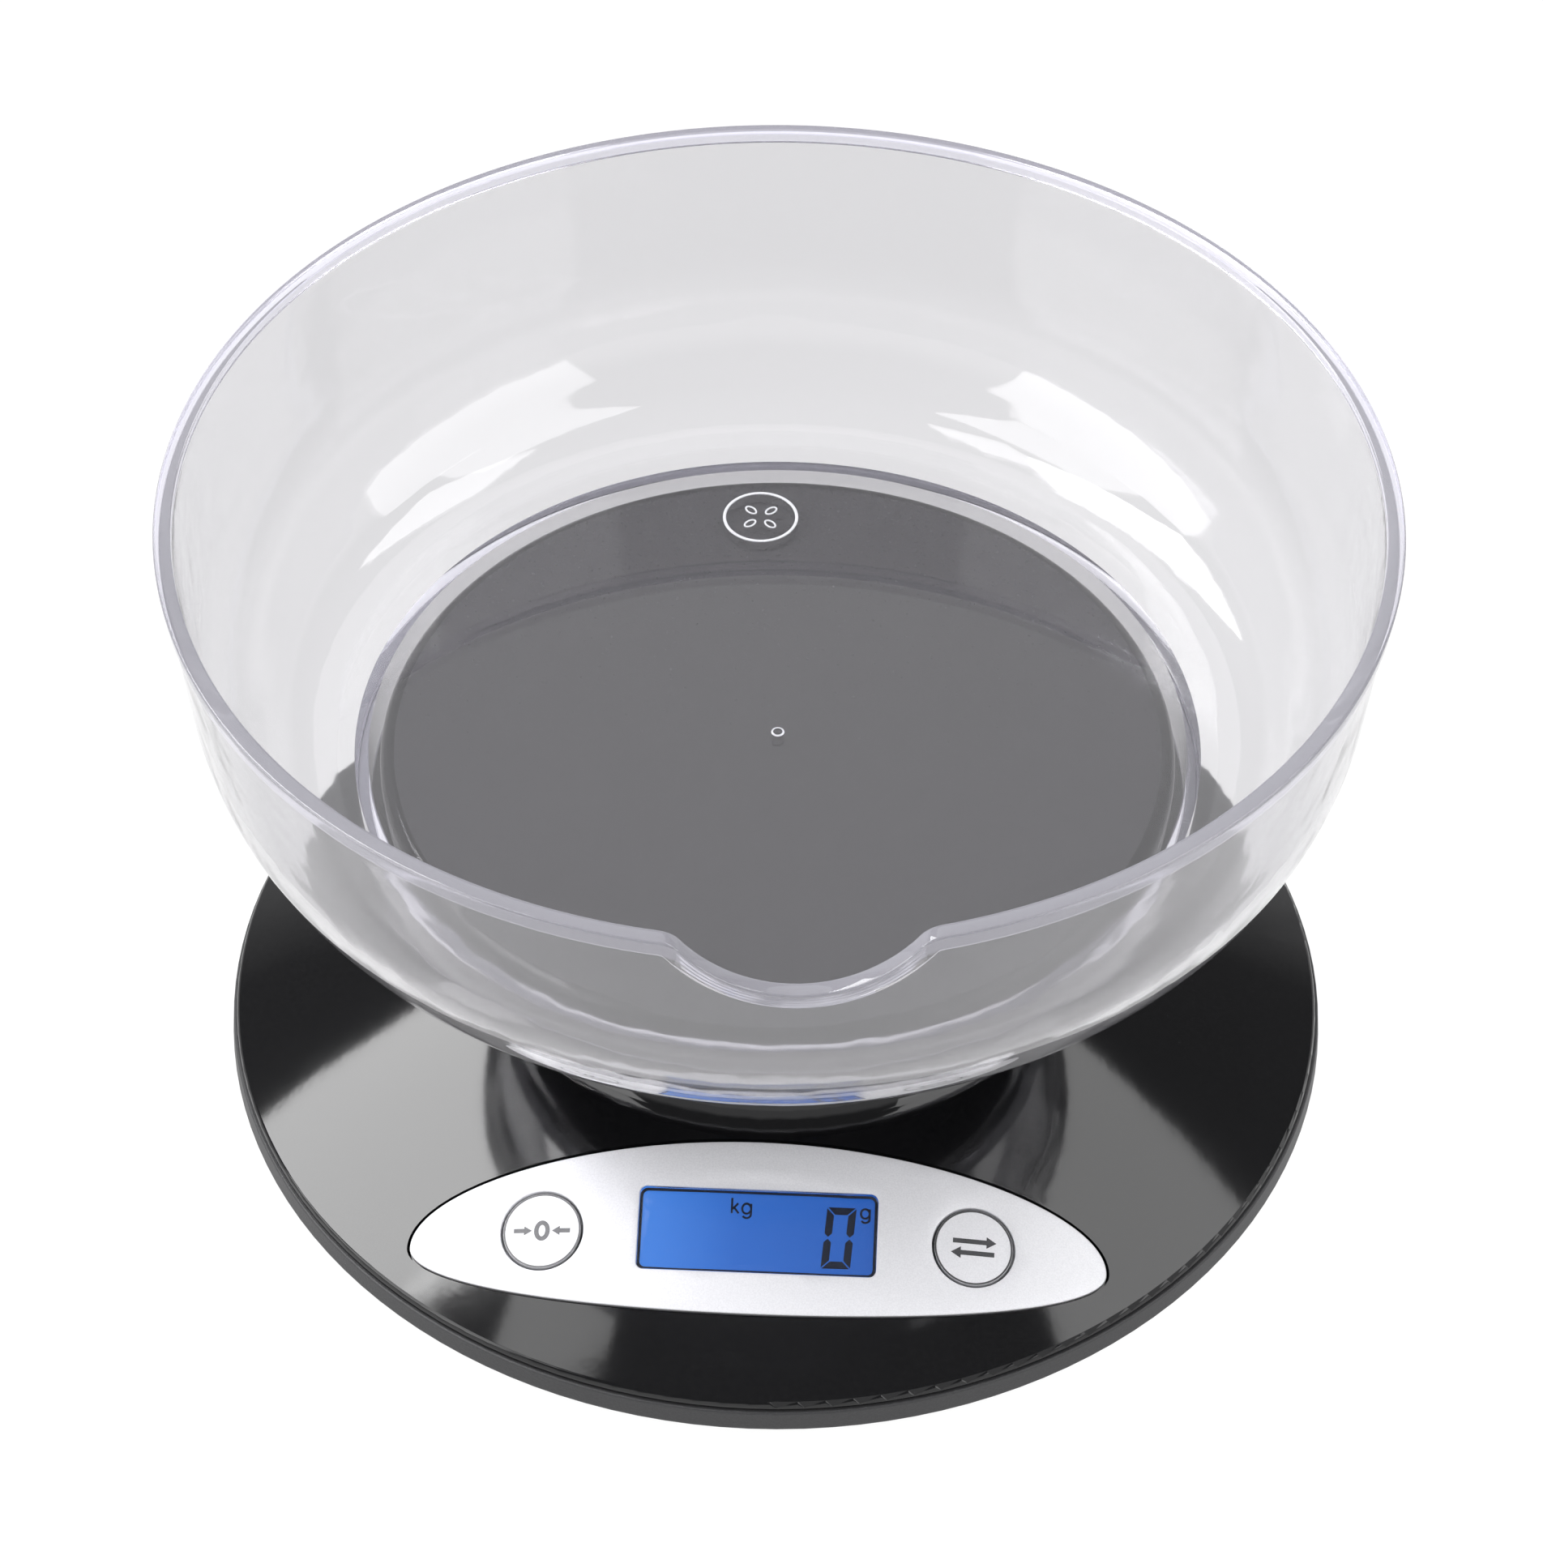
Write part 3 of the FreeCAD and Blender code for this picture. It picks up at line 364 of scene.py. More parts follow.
def cone_plate(name, outer, holes, top, bottom, edge, spacing, place=on_cone):
    """A sheet on the cone with rounded upper edges. Holes run counter-clockwise, like the outside."""
    points = []
    faces = []

    def ring(loop, lift):
        first = len(points)
        points.extend(place(p.x, p.y, lift) for p in loop)
        return list(range(first, first + len(loop)))

    def bridge(a, b):
        for k in range(len(a)):
            j = (k + 1) % len(a)
            faces.append([a[k], a[j], b[j], b[k]])

    steps = 3
    inner_loops = []
    for i, loop in enumerate([outer] + holes):
        side = 1 if i == 0 else -1
        last = ring(loop, bottom)
        for k in range(steps + 1):
            angle = math.pi / 2 * k / steps
            moved = inset(loop, side * edge * (1 - math.cos(angle)))
            following = ring(moved, top - edge * (1 - math.sin(angle)))
            bridge(last, following)
            last = following
        inner_loops.append(inset(loop, side * edge))
    for loops, lift in ((inner_loops, top), ([outer] + holes, bottom)):
        flat, cells = fill_flat(loops[0], loops[1:], spacing)
        first = len(points)
        points.extend(place(p.x, p.y, lift) for p in flat)
        faces.extend([first + i for i in cell] for cell in cells)
    return mesh_object(name, points, faces, 35.0)


def stroke(points, width):
    """A flat band along a bent line, as an outline with square ends."""
    left = []
    right = []
    for i, point in enumerate(points):
        before = (point - points[i - 1]).normalized() if i else None
        after = (points[i + 1] - point).normalized() if i < len(points) - 1 else None
        ways = [w for w in (before, after) if w is not None]
        way = sum(ways, Vector((0, 0))).normalized()
        reach = width / 2 / max(0.35, way.dot(ways[0]))
        side = Vector((-way.y, way.x)) * reach
        left.append(point + side)
        right.append(point - side)
    return right + left[::-1]


# ---- bowl -----------------------------------------------------------------------------------
def rim_line(x, drop):
    """Height of the bowl's edge, or of a line that runs drop below it, at x from the notch's middle."""
    x = abs(x)
    centre_z = BOWL_TOP - NOTCH_DEPTH + NOTCH_RADIUS
    shoulder_z = BOWL_TOP - NOTCH_SHOULDER
    reach = NOTCH_RADIUS + NOTCH_SHOULDER
    shoulder_x = math.sqrt(reach ** 2 - (centre_z - shoulder_z) ** 2)
    if x >= shoulder_x:
        return BOWL_TOP - drop
    radius = NOTCH_RADIUS + drop
    if x <= shoulder_x * radius / reach:
        return centre_z - math.sqrt(radius ** 2 - x ** 2)
    rest = NOTCH_SHOULDER - drop
    return shoulder_z + math.sqrt(max(0.0, rest ** 2 - (x - shoulder_x) ** 2))


def edge_line(radius, turned, drop):
    """rim_line at a radius and an angle from the notch's middle; the bowl's far half has no notch."""
    if math.cos(turned) > 0:
        return rim_line(radius * math.sin(turned), drop)
    return BOWL_TOP - drop


def bowl_angles():
    """Degrees round the bowl from the notch's middle, close together near the notch."""
    fine_half = 15.0
    fine_count = 176
    coarse_count = 360
    coarse_span = 360.0 - 2 * fine_half
    angles = [-fine_half + 2 * fine_half * k / fine_count for k in range(fine_count)]
    angles += [fine_half + coarse_span * k / coarse_count for k in range(coarse_count)]
    return angles


def bowl_outside():
    """The outer outline from the foot ring up to where the wall runs straight."""
    return rounded_path([
        (FOOT_RING_RADIUS, PLATFORM_TOP, 0),
        (*FLOOR_CORNER, FLOOR_ROUND),
        (*WALL_CORNER, WALL_ROUND),
        (WALL_TOP_RADIUS, BOWL_TOP, 0),
    ], step=2.5)[:-1]


def bowl_underside():
    """From the middle of the floor's underside outwards and round the foot ring."""
    under = PLATFORM_TOP + FOOT_GAP
    foot_inside = FOOT_RING_RADIUS - FOOT_RING_WALL
    floor_line = [Vector((r, under)) for r in (0.0, 3.0, 12.0, 30.0, 48.0, 62.0, 69.0)]
    return floor_line + rounded_path([
        (foot_inside, under, 0),
        (foot_inside, FOOT_RING_Z, 0.25),
        (FOOT_RING_RADIUS, FOOT_RING_Z, 0.6),
        (FOOT_RING_RADIUS, PLATFORM_TOP, 0),
    ], step=15)


def bowl_inside(outside):
    """The inner outline from the wall down and in to the gate nub, a wall's thickness from the outside."""
    inner = []
    for i, point in enumerate(outside):
        back = outside[max(i - 1, 0)]
        ahead = outside[min(i + 1, len(outside) - 1)]
        way = (ahead - back).normalized() if i else Vector((1, 0))
        inner.append(point + Vector((-way.y, way.x)) * BOWL_WALL)
    floor_z = PLATFORM_TOP + BOWL_WALL
    floor_line = [Vector((r, floor_z)) for r in (71.5, 62.0, 48.0, 30.0, 12.0, 3.0, 1.5, GATE_RADIUS)]
    nub = [
        Vector((GATE_RADIUS - 0.1, floor_z + GATE_RISE - 0.05)),
        Vector((GATE_RADIUS - 0.2, floor_z + GATE_RISE)),
        Vector((0.0, floor_z + GATE_RISE)),
    ]
    return inner[::-1][:-1] + floor_line + nub


def wall_at(z, proud=0.0):
    """The outer face of the straight part of the wall, or a point that stands proud of it."""
    return Vector((WALL_CORNER[0] + (z - WALL_CORNER[1]) * WALL_LEAN + proud, z))


def rim_column(degrees, low_z):
    """Over the rim at one angle: up the straight wall, over the lip and down inside."""
    wall_rows = 9
    lip_rows = 8
    lip_gap = 0.15
    inner_low_z = low_z + 0.4
    turned = math.radians(degrees)
    off = min(degrees, 360.0 - degrees) if degrees > 0 else -degrees
    ridge = RIDGE_HEIGHT * min(1.0, max(0.0, (RIDGE_END - off) / RIDGE_FADE))
    lip_z = edge_line(WALL_TOP_RADIUS, turned, LIP_HEIGHT)
    top_out = edge_line(WALL_TOP_RADIUS + LIP_PROUD, turned, 0)
    top_in = edge_line(WALL_TOP_RADIUS - BOWL_WALL, turned, 0)

    column = [wall_at(low_z + (lip_z - lip_gap - low_z) * k / wall_rows) for k in range(wall_rows + 1)]
    lip_edge = ((-0.03, 0.1), (0.0, LIP_PROUD - 0.2), (0.06, LIP_PROUD - 0.05), (LIP_ROUND, LIP_PROUD))
    column += [wall_at(lip_z + rise, proud) for rise, proud in lip_edge]
    for k in range(1, lip_rows + 1):
        groove = ridge if k % 2 and k < lip_rows else 0.0
        z = lip_z + LIP_ROUND + (top_out - RIM_ROUND - lip_z - LIP_ROUND) * k / lip_rows
        column.append(wall_at(z, LIP_PROUD - groove))
    outer_edge = wall_at(top_out, LIP_PROUD)
    for k in range(1, 5):
        angle = math.pi / 2 * k / 4
        column.append(Vector((outer_edge.x - RIM_ROUND * (1 - math.cos(angle)),
                              top_out - RIM_ROUND * (1 - math.sin(angle)))))
    inner_edge = wall_at(top_in, -BOWL_WALL)
    for k in range(4):
        angle = math.pi / 2 * k / 3
        column.append(Vector((inner_edge.x + RIM_ROUND * (1 - math.sin(angle)),
                              top_in - RIM_ROUND * (1 - math.cos(angle)))))
    for k in range(1, wall_rows + 1):
        z = top_in - RIM_ROUND + (inner_low_z - top_in + RIM_ROUND) * k / wall_rows
        column.append(wall_at(z, -BOWL_WALL))
    return column


def bowl_finish_index(centre):
    """Which of the bowl's finishes a face has, from its centre in metres."""
    z = centre.z / MM
    radius = math.hypot(centre.x, centre.y) / MM
    turned = math.atan2(centre.y, centre.x) + math.radians(90.0 - BOWL_TURN)
    middle_of_wall = WALL_CORNER[0] + (z - WALL_CORNER[1]) * WALL_LEAN - BOWL_WALL / 2
    depth = LIP_HEIGHT if radius > middle_of_wall else INNER_EDGE_DEPTH
    # Lip, rim and the foot ring's lower edge get the edge finish: the plastic's lilac tint, made milky white
    # as painted glow.
    if z > edge_line(radius, turned, 0) - depth or z < FOOT_RING_Z + FOOT_EDGE_RISE:
        return 1
    return 2 if radius > WALL_FINISH_RADIUS else 0


def bowl():
    """The bowl as one skin: clear, with a lilac rim and foot edge whose milky white is painted glow, and a
    slightly hazier wall.
    """
    outside = bowl_outside()
    low_z = outside[-1].y + 0.6
    start = bowl_underside() + outside[1:]
    end = bowl_inside(outside)
    columns = [start + rim_column(degrees, low_z) + end for degrees in bowl_angles()]
    directions = [math.radians(degrees - 90.0 + BOWL_TURN) for degrees in bowl_angles()]
    item = turned_skin("bowl_clear", columns, directions, 28.0)
    for slot in ("clear_plastic", "lilac_edge_painted_glow", "clear_plastic_wall"):
        item.data.materials.append(FINISHES[slot])
    for face in item.data.polygons:
        face.material_index = bowl_finish_index(face.center)
    return item


def on_bowl_floor(centre):
    """A placing function for shapes that stand on the bowl's floor round a centre."""
    middle = Vector(centre)
    floor_z = PLATFORM_TOP + BOWL_WALL + 0.01

    def place(s, t, n):
        return Vector((middle.x + s, middle.y + t, floor_z + n))

    return place


def petal_outline(angle):
    """An ellipse that points away from the mark's middle."""
    outline = []
    for k in range(40):
        turn = 2 * math.pi * k / 40
        along = PETAL_REACH + PETAL_HALF_SIZE[0] * math.cos(turn)
        across = PETAL_HALF_SIZE[1] * math.sin(turn)
        outline.append(Vector((along * math.cos(angle) - across * math.sin(angle),
                               along * math.sin(angle) + across * math.cos(angle))))
    return outline


def floor_ring(name, place, inner, outer, rise, edge):
    """A flat raised ring on the bowl's floor."""
    return cone_plate(name, circle_outline(0, 0, outer), [circle_outline(0, 0, inner)],
                      rise, 0.0, edge, FEW_CELLS, place)


def bowl_mark():
    """A plain raised ring with a small four-petal sign near the floor's back, and the gate's ring."""
    at_mark = on_bowl_floor(MARK_CENTRE)
    parts = [floor_ring("bowl_mark_ring", at_mark, *MARK_RING)]
    for k in range(4):
        outline = petal_outline(math.radians(45 + 90 * k))
        parts.append(cone_plate(f"bowl_mark_petal_{k}", outline, [inset(outline, PETAL_LINE)],
                                PETAL_RISE, 0.0, PETAL_EDGE, FEW_CELLS, at_mark))
    parts.append(floor_ring("bowl_gate_ring", on_bowl_floor((0, 0)), *GATE_RING))
    return parts


# ---- platform -------------------------------------------------------------------------------
def platform():
    """The platform with a satin top and a rounded, glossy shoulder whose deeper black is painted shade."""
    under = PLATFORM_TOP - PLATFORM_WALL
    inner = PLATFORM_RADIUS - PLATFORM_WALL
    outline = rounded_path([
        (inner, under, 0),
        (inner, PLATFORM_SKIRT_Z, 0.4),
        (PLATFORM_RADIUS, PLATFORM_SKIRT_Z, 0.6),
        (PLATFORM_RADIUS, PLATFORM_TOP, SHOULDER_ROUND),
        (PLATFORM_FLAT, PLATFORM_TOP, 0),
    ], step=12)
    underside = [Vector((r, under)) for r in (0.0, 20.0, 40.0, 55.0, inner - 1.5)]
    top = [Vector((r, PLATFORM_TOP)) for r in (60.0, 45.0, 30.0, 15.0, 0.0)]
    column = underside + outline[1:] + top
    count = 288
    directions = [2 * math.pi * k / count for k in range(count)]
    item = turned_skin("platform_dish", [column] * count, directions, 28.0)
    item.data.materials.append(FINISHES["platform_black"])
    item.data.materials.append(FINISHES["gloss_black"])
    # The shoulder takes the darker gloss black: its gloss is real, its deeper black is painted shade at the
    # platform's edge.
    for face in item.data.polygons:
        radius = math.hypot(face.center.x, face.center.y) / MM
        if radius > PLATFORM_RADIUS - SHOULDER_ROUND:
            face.material_index = 1
    return item


# ---- display --------------------------------------------------------------------------------
def digit_segments():
    """The six lit bars of a seven-bar zero, with mitred ends, leaning a little."""
    w, h = DIGIT_SIZE[0] / 2, DIGIT_SIZE[1] / 2
    b, g = SEGMENT, SEGMENT_GAP
    bars = [
        [(-w + g, h), (w - g, h), (w - b - g, h - b), (-w + b + g, h - b)],
        [(-w + g, -h), (-w + b + g, -h + b), (w - b - g, -h + b), (w - g, -h)],
    ]
    for side in (-1, 1):
        for up in (-1, 1):
            bars.append([
                (side * w, up * (h - g)),
                (side * (w - b), up * (h - b - g)),
                (side * (w - b), up * (b / 2 + g)),
                (side * (w - b / 2), up * g),
                (side * w, up * (b / 2 + g)),
            ])
    centre_s, centre_t = DIGIT_CENTRE
    return [[Vector((centre_s + x + y * DIGIT_SLANT, centre_t + y)) for x, y in bar] for bar in bars]


def prints(name, outlines, bottom, top, place):
    """Thin printed shapes without holes, each a flat prism. Their outlines may run either way."""
    points = []
    faces = []
    for outline in map(counter_clockwise, outlines):
        flat, cells = fill_flat(outline, [], FEW_CELLS)
        low = len(points)
        points.extend(place(p.x, p.y, bottom) for p in outline)
        high = len(points)
        points.extend(place(p.x, p.y, top) for p in outline)
        count = len(outline)
        for k in range(count):
            j = (k + 1) % count
            faces.append([low + k, low + j, high + j, high + k])
        for lift in (bottom, top):
            first = len(points)
            points.extend(place(p.x, p.y, lift) for p in flat)
            faces.extend([first + i for i in cell] for cell in cells)
    return mesh_object(name, points, faces, 20.0)


def arc_points(cx, cy, rx, ry, start, stop, count):
    """Points along an ellipse's arc, from one angle in degrees to another."""
    angles = [math.radians(start + (stop - start) * k / count) for k in range(count + 1)]
    return [Vector((cx + rx * math.cos(angle), cy + ry * math.sin(angle))) for angle in angles]


def small_g(cx, cy, size, width):
    """The unit letter g: a bowl and a hooked stem."""
    r = size / 2
    bowl_line = arc_points(cx, cy, r * 0.86, r, 20, 340, 24)
    stem = [Vector((cx + r * 0.9, cy + r)), Vector((cx + r * 0.9, cy - r * 1.1))]
    stem += arc_points(cx + r * 0.05, cy - r * 1.1, r * 0.85, r * 0.8, -20, -150, 12)
    return [stroke(bowl_line, width), stroke(stem, width)]


def small_k(cx, cy, size, width):
    """The unit letter k: a tall stem and two slanting strokes."""
    r = size / 2
    return [
        stroke([Vector((cx - r * 0.6, cy - r)), Vector((cx - r * 0.6, cy + r * 2.0))], width),
        stroke([Vector((cx - r * 0.5, cy - r * 0.15)), Vector((cx + r * 0.6, cy + r))], width),
        stroke([Vector((cx - r * 0.15, cy + r * 0.15)), Vector((cx + r * 0.75, cy - r))], width),
    ]


def arrow(tip, tail, width, head):
    """A straight arrow as a shaft and a triangle."""
    way = (tip - tail).normalized()
    side = Vector((-way.y, way.x))
    neck = tip - way * head
    return [
        stroke([tail, neck + way * 0.02], width),
        [tip, neck + side * head * 0.62, neck - side * head * 0.62],
    ]


def tare_sign():
    """Arrows closing on a zero."""
    centre = Vector((-BUTTON_S, BUTTON_T))
    width = 0.78
    tip, tail, head = 1.75, 4.9, 1.35
    shapes = []
    for side in (-1, 1):
        shapes += arrow(centre + Vector((side * tip, 0)), centre + Vector((side * tail, 0)), width, head)
    for start in (0, 180):
        shapes.append(stroke(arc_points(centre.x, centre.y, 0.98, 1.45, start, start + 180, 20), width))
    return shapes


def mode_sign():
    """Two arrows past each other: changes the unit."""
    centre = Vector((BUTTON_S, BUTTON_T))
    width = 0.85
    tip, tail, apart, head = 3.9, 3.6, 1.05, 1.7
    shapes = []
    for side in (1, -1):
        shapes += arrow(centre + Vector((side * tip, side * apart)),
                        centre + Vector((-side * tail, side * apart)), width, head)
    return shapes


# ---- finishes -------------------------------------------------------------------------------
def finish(name, dark, light, roughness, metallic=0.0, grain=900.0, bump=0.02, bump_scale=1500.0,
           coat=0.0, specular=0.5, spread=0.04):
    """A plastic, rubber or metal finish with a fine mottle, uneven gloss and a grainy surface."""
    material = bpy.data.materials.new(name)
    material.use_nodes = True
    nodes, links = material.node_tree.nodes, material.node_tree.links
    shader = nodes["Principled BSDF"]
    place = nodes.new("ShaderNodeTexCoord")
    mottle = nodes.new("ShaderNodeTexNoise")
    mottle.inputs["Scale"].default_value = grain
    mottle.inputs["Detail"].default_value = 3.0
    links.new(place.outputs["Object"], mottle.inputs["Vector"])
    ramp = nodes.new("ShaderNodeValToRGB")
    ramp.color_ramp.elements[0].position = 0.3
    ramp.color_ramp.elements[0].color = (*dark, 1)
    ramp.color_ramp.elements[1].position = 0.7
    ramp.color_ramp.elements[1].color = (*light, 1)
    links.new(mottle.outputs["Fac"], ramp.inputs["Fac"])
    links.new(ramp.outputs["Color"], shader.inputs["Base Color"])
    wear = nodes.new("ShaderNodeTexNoise")
    wear.inputs["Scale"].default_value = 35.0
    wear.inputs["Detail"].default_value = 4.0
    links.new(place.outputs["Object"], wear.inputs["Vector"])
    gloss = nodes.new("ShaderNodeMapRange")
    gloss.inputs["To Min"].default_value = max(0.0, roughness - spread)
    gloss.inputs["To Max"].default_value = roughness + spread
    links.new(wear.outputs["Fac"], gloss.inputs["Value"])
    links.new(gloss.outputs["Result"], shader.inputs["Roughness"])
    if bump > 0:
        grainy = nodes.new("ShaderNodeTexNoise")
        grainy.inputs["Scale"].default_value = bump_scale
        grainy.inputs["Detail"].default_value = 2.0
        links.new(place.outputs["Object"], grainy.inputs["Vector"])
        relief = nodes.new("ShaderNodeBump")
        relief.inputs["Strength"].default_value = bump
        relief.inputs["Distance"].default_value = 0.0002
        links.new(grainy.outputs["Fac"], relief.inputs["Height"])
        links.new(relief.outputs["Normal"], shader.inputs["Normal"])
    shader.inputs["Metallic"].default_value = metallic
    shader.inputs["Coat Weight"].default_value = coat
    shader.inputs["Coat Roughness"].default_value = 0.04
    shader.inputs["Specular IOR Level"].default_value = specular
    return material


def clear_finish(name, tint, ior, roughness, ripple, clear=1.0, ripple_scale=18.0):
    """Clear plastic that lets lamps through: refracting, with faint ripples from the mould."""
    material = bpy.data.materials.new(name)
    material.use_nodes = True
    nodes, links = material.node_tree.nodes, material.node_tree.links
    shader = nodes["Principled BSDF"]
    output = nodes["Material Output"]
    shader.inputs["Base Color"].default_value = (*tint, 1)
    shader.inputs["Transmission Weight"].default_value = clear
    shader.inputs["IOR"].default_value = ior
    place = nodes.new("ShaderNodeTexCoord")
    haze = nodes.new("ShaderNodeTexNoise")
    haze.inputs["Scale"].default_value = 60.0
    links.new(place.outputs["Object"], haze.inputs["Vector"])
    gloss = nodes.new("ShaderNodeMapRange")
    gloss.inputs["To Min"].default_value = roughness * 0.5
    gloss.inputs["To Max"].default_value = roughness * 1.5
    links.new(haze.outputs["Fac"], gloss.inputs["Value"])
    links.new(gloss.outputs["Result"], shader.inputs["Roughness"])
    waves = nodes.new("ShaderNodeTexNoise")
    waves.inputs["Scale"].default_value = ripple_scale
    links.new(place.outputs["Object"], waves.inputs["Vector"])
    relief = nodes.new("ShaderNodeBump")
    relief.inputs["Strength"].default_value = ripple
    relief.inputs["Distance"].default_value = 0.0005
    links.new(waves.outputs["Fac"], relief.inputs["Height"])
    links.new(relief.outputs["Normal"], shader.inputs["Normal"])
    path = nodes.new("ShaderNodeLightPath")
    through = nodes.new("ShaderNodeBsdfTransparent")
    through.inputs["Color"].default_value = (0.93, 0.93, 0.95, 1)
    mix = nodes.new("ShaderNodeMixShader")
    links.new(path.outputs["Is Shadow Ray"], mix.inputs["Fac"])
    links.new(shader.outputs["BSDF"], mix.inputs[1])
    links.new(through.outputs["BSDF"], mix.inputs[2])
    links.new(mix.outputs["Shader"], output.inputs["Surface"])
    return material


def lit_display():
    """Blue backlit liquid crystal, brighter towards its left end, with a faint pixel haze."""
    material = bpy.data.materials.new("lcd_blue")
    material.use_nodes = True
    nodes, links = material.node_tree.nodes, material.node_tree.links
    shader = nodes["Principled BSDF"]
    place = nodes.new("ShaderNodeTexCoord")
    split = nodes.new("ShaderNodeSeparateXYZ")
    links.new(place.outputs["Object"], split.inputs["Vector"])
    along = nodes.new("ShaderNodeMapRange")
    along.inputs["From Min"].default_value = -0.022
    along.inputs["From Max"].default_value = 0.022
    links.new(split.outputs["X"], along.inputs["Value"])
    ramp = nodes.new("ShaderNodeValToRGB")
    ramp.color_ramp.elements[0].position = 0.0
    ramp.color_ramp.elements[0].color = (0.060, 0.220, 0.68, 1)
    ramp.color_ramp.elements[1].position = 1.0
    ramp.color_ramp.elements[1].color = (0.018, 0.085, 0.36, 1)
    middle = ramp.color_ramp.elements.new(0.42)
    middle.color = (0.026, 0.120, 0.46, 1)
    links.new(along.outputs["Result"], ramp.inputs["Fac"])
    links.new(ramp.outputs["Color"], shader.inputs["Emission Color"])
    shader.inputs["Emission Strength"].default_value = 1.0
    shader.inputs["Base Color"].default_value = (0.01, 0.03, 0.09, 1)
    haze = nodes.new("ShaderNodeTexNoise")
    haze.inputs["Scale"].default_value = 4000.0
    links.new(place.outputs["Object"], haze.inputs["Vector"])
    gloss = nodes.new("ShaderNodeMapRange")
    gloss.inputs["To Min"].default_value = 0.18
    gloss.inputs["To Max"].default_value = 0.3
    links.new(haze.outputs["Fac"], gloss.inputs["Value"])
    links.new(gloss.outputs["Result"], shader.inputs["Roughness"])
    return material


FINISHES = {
    "gloss_black": finish("gloss_black", (0.004, 0.004, 0.0045), (0.0065, 0.0065, 0.007), 0.07, grain=1200,
                          bump=0.03, bump_scale=260, spread=0.02),
    "matte_black": finish("matte_black", (0.030, 0.030, 0.032), (0.040, 0.040, 0.042), 0.5, grain=2600,
                          bump=0.25, bump_scale=2400),
    "platform_black": finish("platform_black", (0.018, 0.0175, 0.0195), (0.024, 0.023, 0.0255), 0.22,
                             grain=1500, bump=0.06, bump_scale=1800),
    "clear_plastic": clear_finish("clear_plastic", (0.745, 0.74, 0.755), 1.49, 0.02, 0.02, 0.98),
    "clear_plastic_wall": clear_finish("clear_plastic_wall", (0.715, 0.71, 0.725), 1.49, 0.045, 0.24, 0.95,
                                       ripple_scale=70.0),
    # Rim and foot edge: the plastic's lilac tint, part milky white as painted glow of light in the thick
    # edges.
    "lilac_edge_painted_glow": clear_finish("lilac_edge_painted_glow", (0.74, 0.73, 0.815), 1.49, 0.07, 0.02, 0.74),
    "silver_paint": finish("silver_paint", (0.715, 0.715, 0.735), (0.80, 0.80, 0.82), 0.34, metallic=0.08,
                           grain=3600, bump=0.08, bump_scale=3200),
    "window_clear": clear_finish("window_clear", (0.96, 0.97, 1.0), 1.25, 0.02, 0.01),
    "lcd_blue": lit_display(),
    "light_guide": finish("light_guide", (0.45, 0.62, 0.9), (0.55, 0.72, 0.95), 0.4, grain=800),
    "inner_plastic": finish("inner_plastic", (0.05, 0.05, 0.054), (0.075, 0.075, 0.08), 0.45, grain=1400,
                            bump=0.15),
    "foot_rubber": finish("foot_rubber", (0.035, 0.035, 0.036), (0.055, 0.055, 0.055), 0.8, grain=1800,
                          bump=0.3, bump_scale=2600),
    "screw_steel": finish("screw_steel", (0.42, 0.42, 0.43), (0.6, 0.6, 0.61), 0.3, metallic=1.0,
                          grain=2400, bump=0.1),
    "contact_metal": finish("contact_metal", (0.58, 0.57, 0.54), (0.72, 0.71, 0.68), 0.25, metallic=1.0,
                            grain=1900, bump=0.08),
    "battery_can": finish("battery_can", (0.10, 0.12, 0.16), (0.15, 0.17, 0.22), 0.32, metallic=0.4,
                          grain=300, bump=0.04),
    "cell_aluminium": finish("cell_aluminium", (0.6, 0.61, 0.63), (0.74, 0.75, 0.77), 0.34, metallic=1.0,
                             grain=2200, bump=0.15, bump_scale=1900),
    "gauge_coating": finish("gauge_coating", (0.76, 0.76, 0.73), (0.86, 0.86, 0.83), 0.55, grain=700,
                            bump=0.2),
    "wire_sleeve": finish("wire_sleeve", (0.26, 0.03, 0.03), (0.38, 0.05, 0.05), 0.5, grain=500, bump=0.1),
    "connector_rubber": finish("connector_rubber", (0.35, 0.14, 0.18), (0.6, 0.3, 0.35), 0.6, grain=2500,
                               bump=0.1),
    "board_green": finish("board_green", (0.015, 0.14, 0.06), (0.03, 0.22, 0.10), 0.38, grain=600,
                          bump=0.12),
    "chip_black": finish("chip_black", (0.015, 0.015, 0.015), (0.035, 0.035, 0.035), 0.5, grain=1600,
                         bump=0.15),
}
SIGN_DARK = finish("sign_print", (0.040, 0.040, 0.043), (0.060, 0.060, 0.064), 0.45, grain=3000, bump=0.05)
SIGN_GREY = finish("sign_print_grey", (0.125, 0.125, 0.13), (0.16, 0.16, 0.165), 0.4, grain=3000, bump=0.05)
SEGMENT_INK = finish("segment_ink", (0.004, 0.007, 0.016), (0.007, 0.011, 0.024), 0.35, grain=5000, bump=0.0)
MARK_CLEAR = finish("mark_frosted", (0.55, 0.55, 0.58), (0.70, 0.70, 0.73), 0.35, grain=2500, bump=0.1)


def wear_finish(item, slot, body):
    """Gives a piece the finish of a slot and the body it rides on."""
    item.data.materials.clear()
    item.data.materials.append(FINISHES[slot])
    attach(item, body)
    return item


# ---- carried CAD nodes ----------------------------------------------------------------------
def smooth_cad(item):
    """Even shading over the curved faces of a carried node, with its edges kept crisp."""
    item.data.polygons.foreach_set("use_smooth", [True] * len(item.data.polygons))
    weld = item.modifiers.new("weld", "WELD")
    weld.merge_threshold = 2e-6
    crease = item.modifiers.new("crease", "EDGE_SPLIT")
    crease.split_angle = math.radians(24)
    crease.use_edge_sharp = False
    even = item.modifiers.new("even", "WEIGHTED_NORMAL")
    even.weight = 90
    even.keep_sharp = True


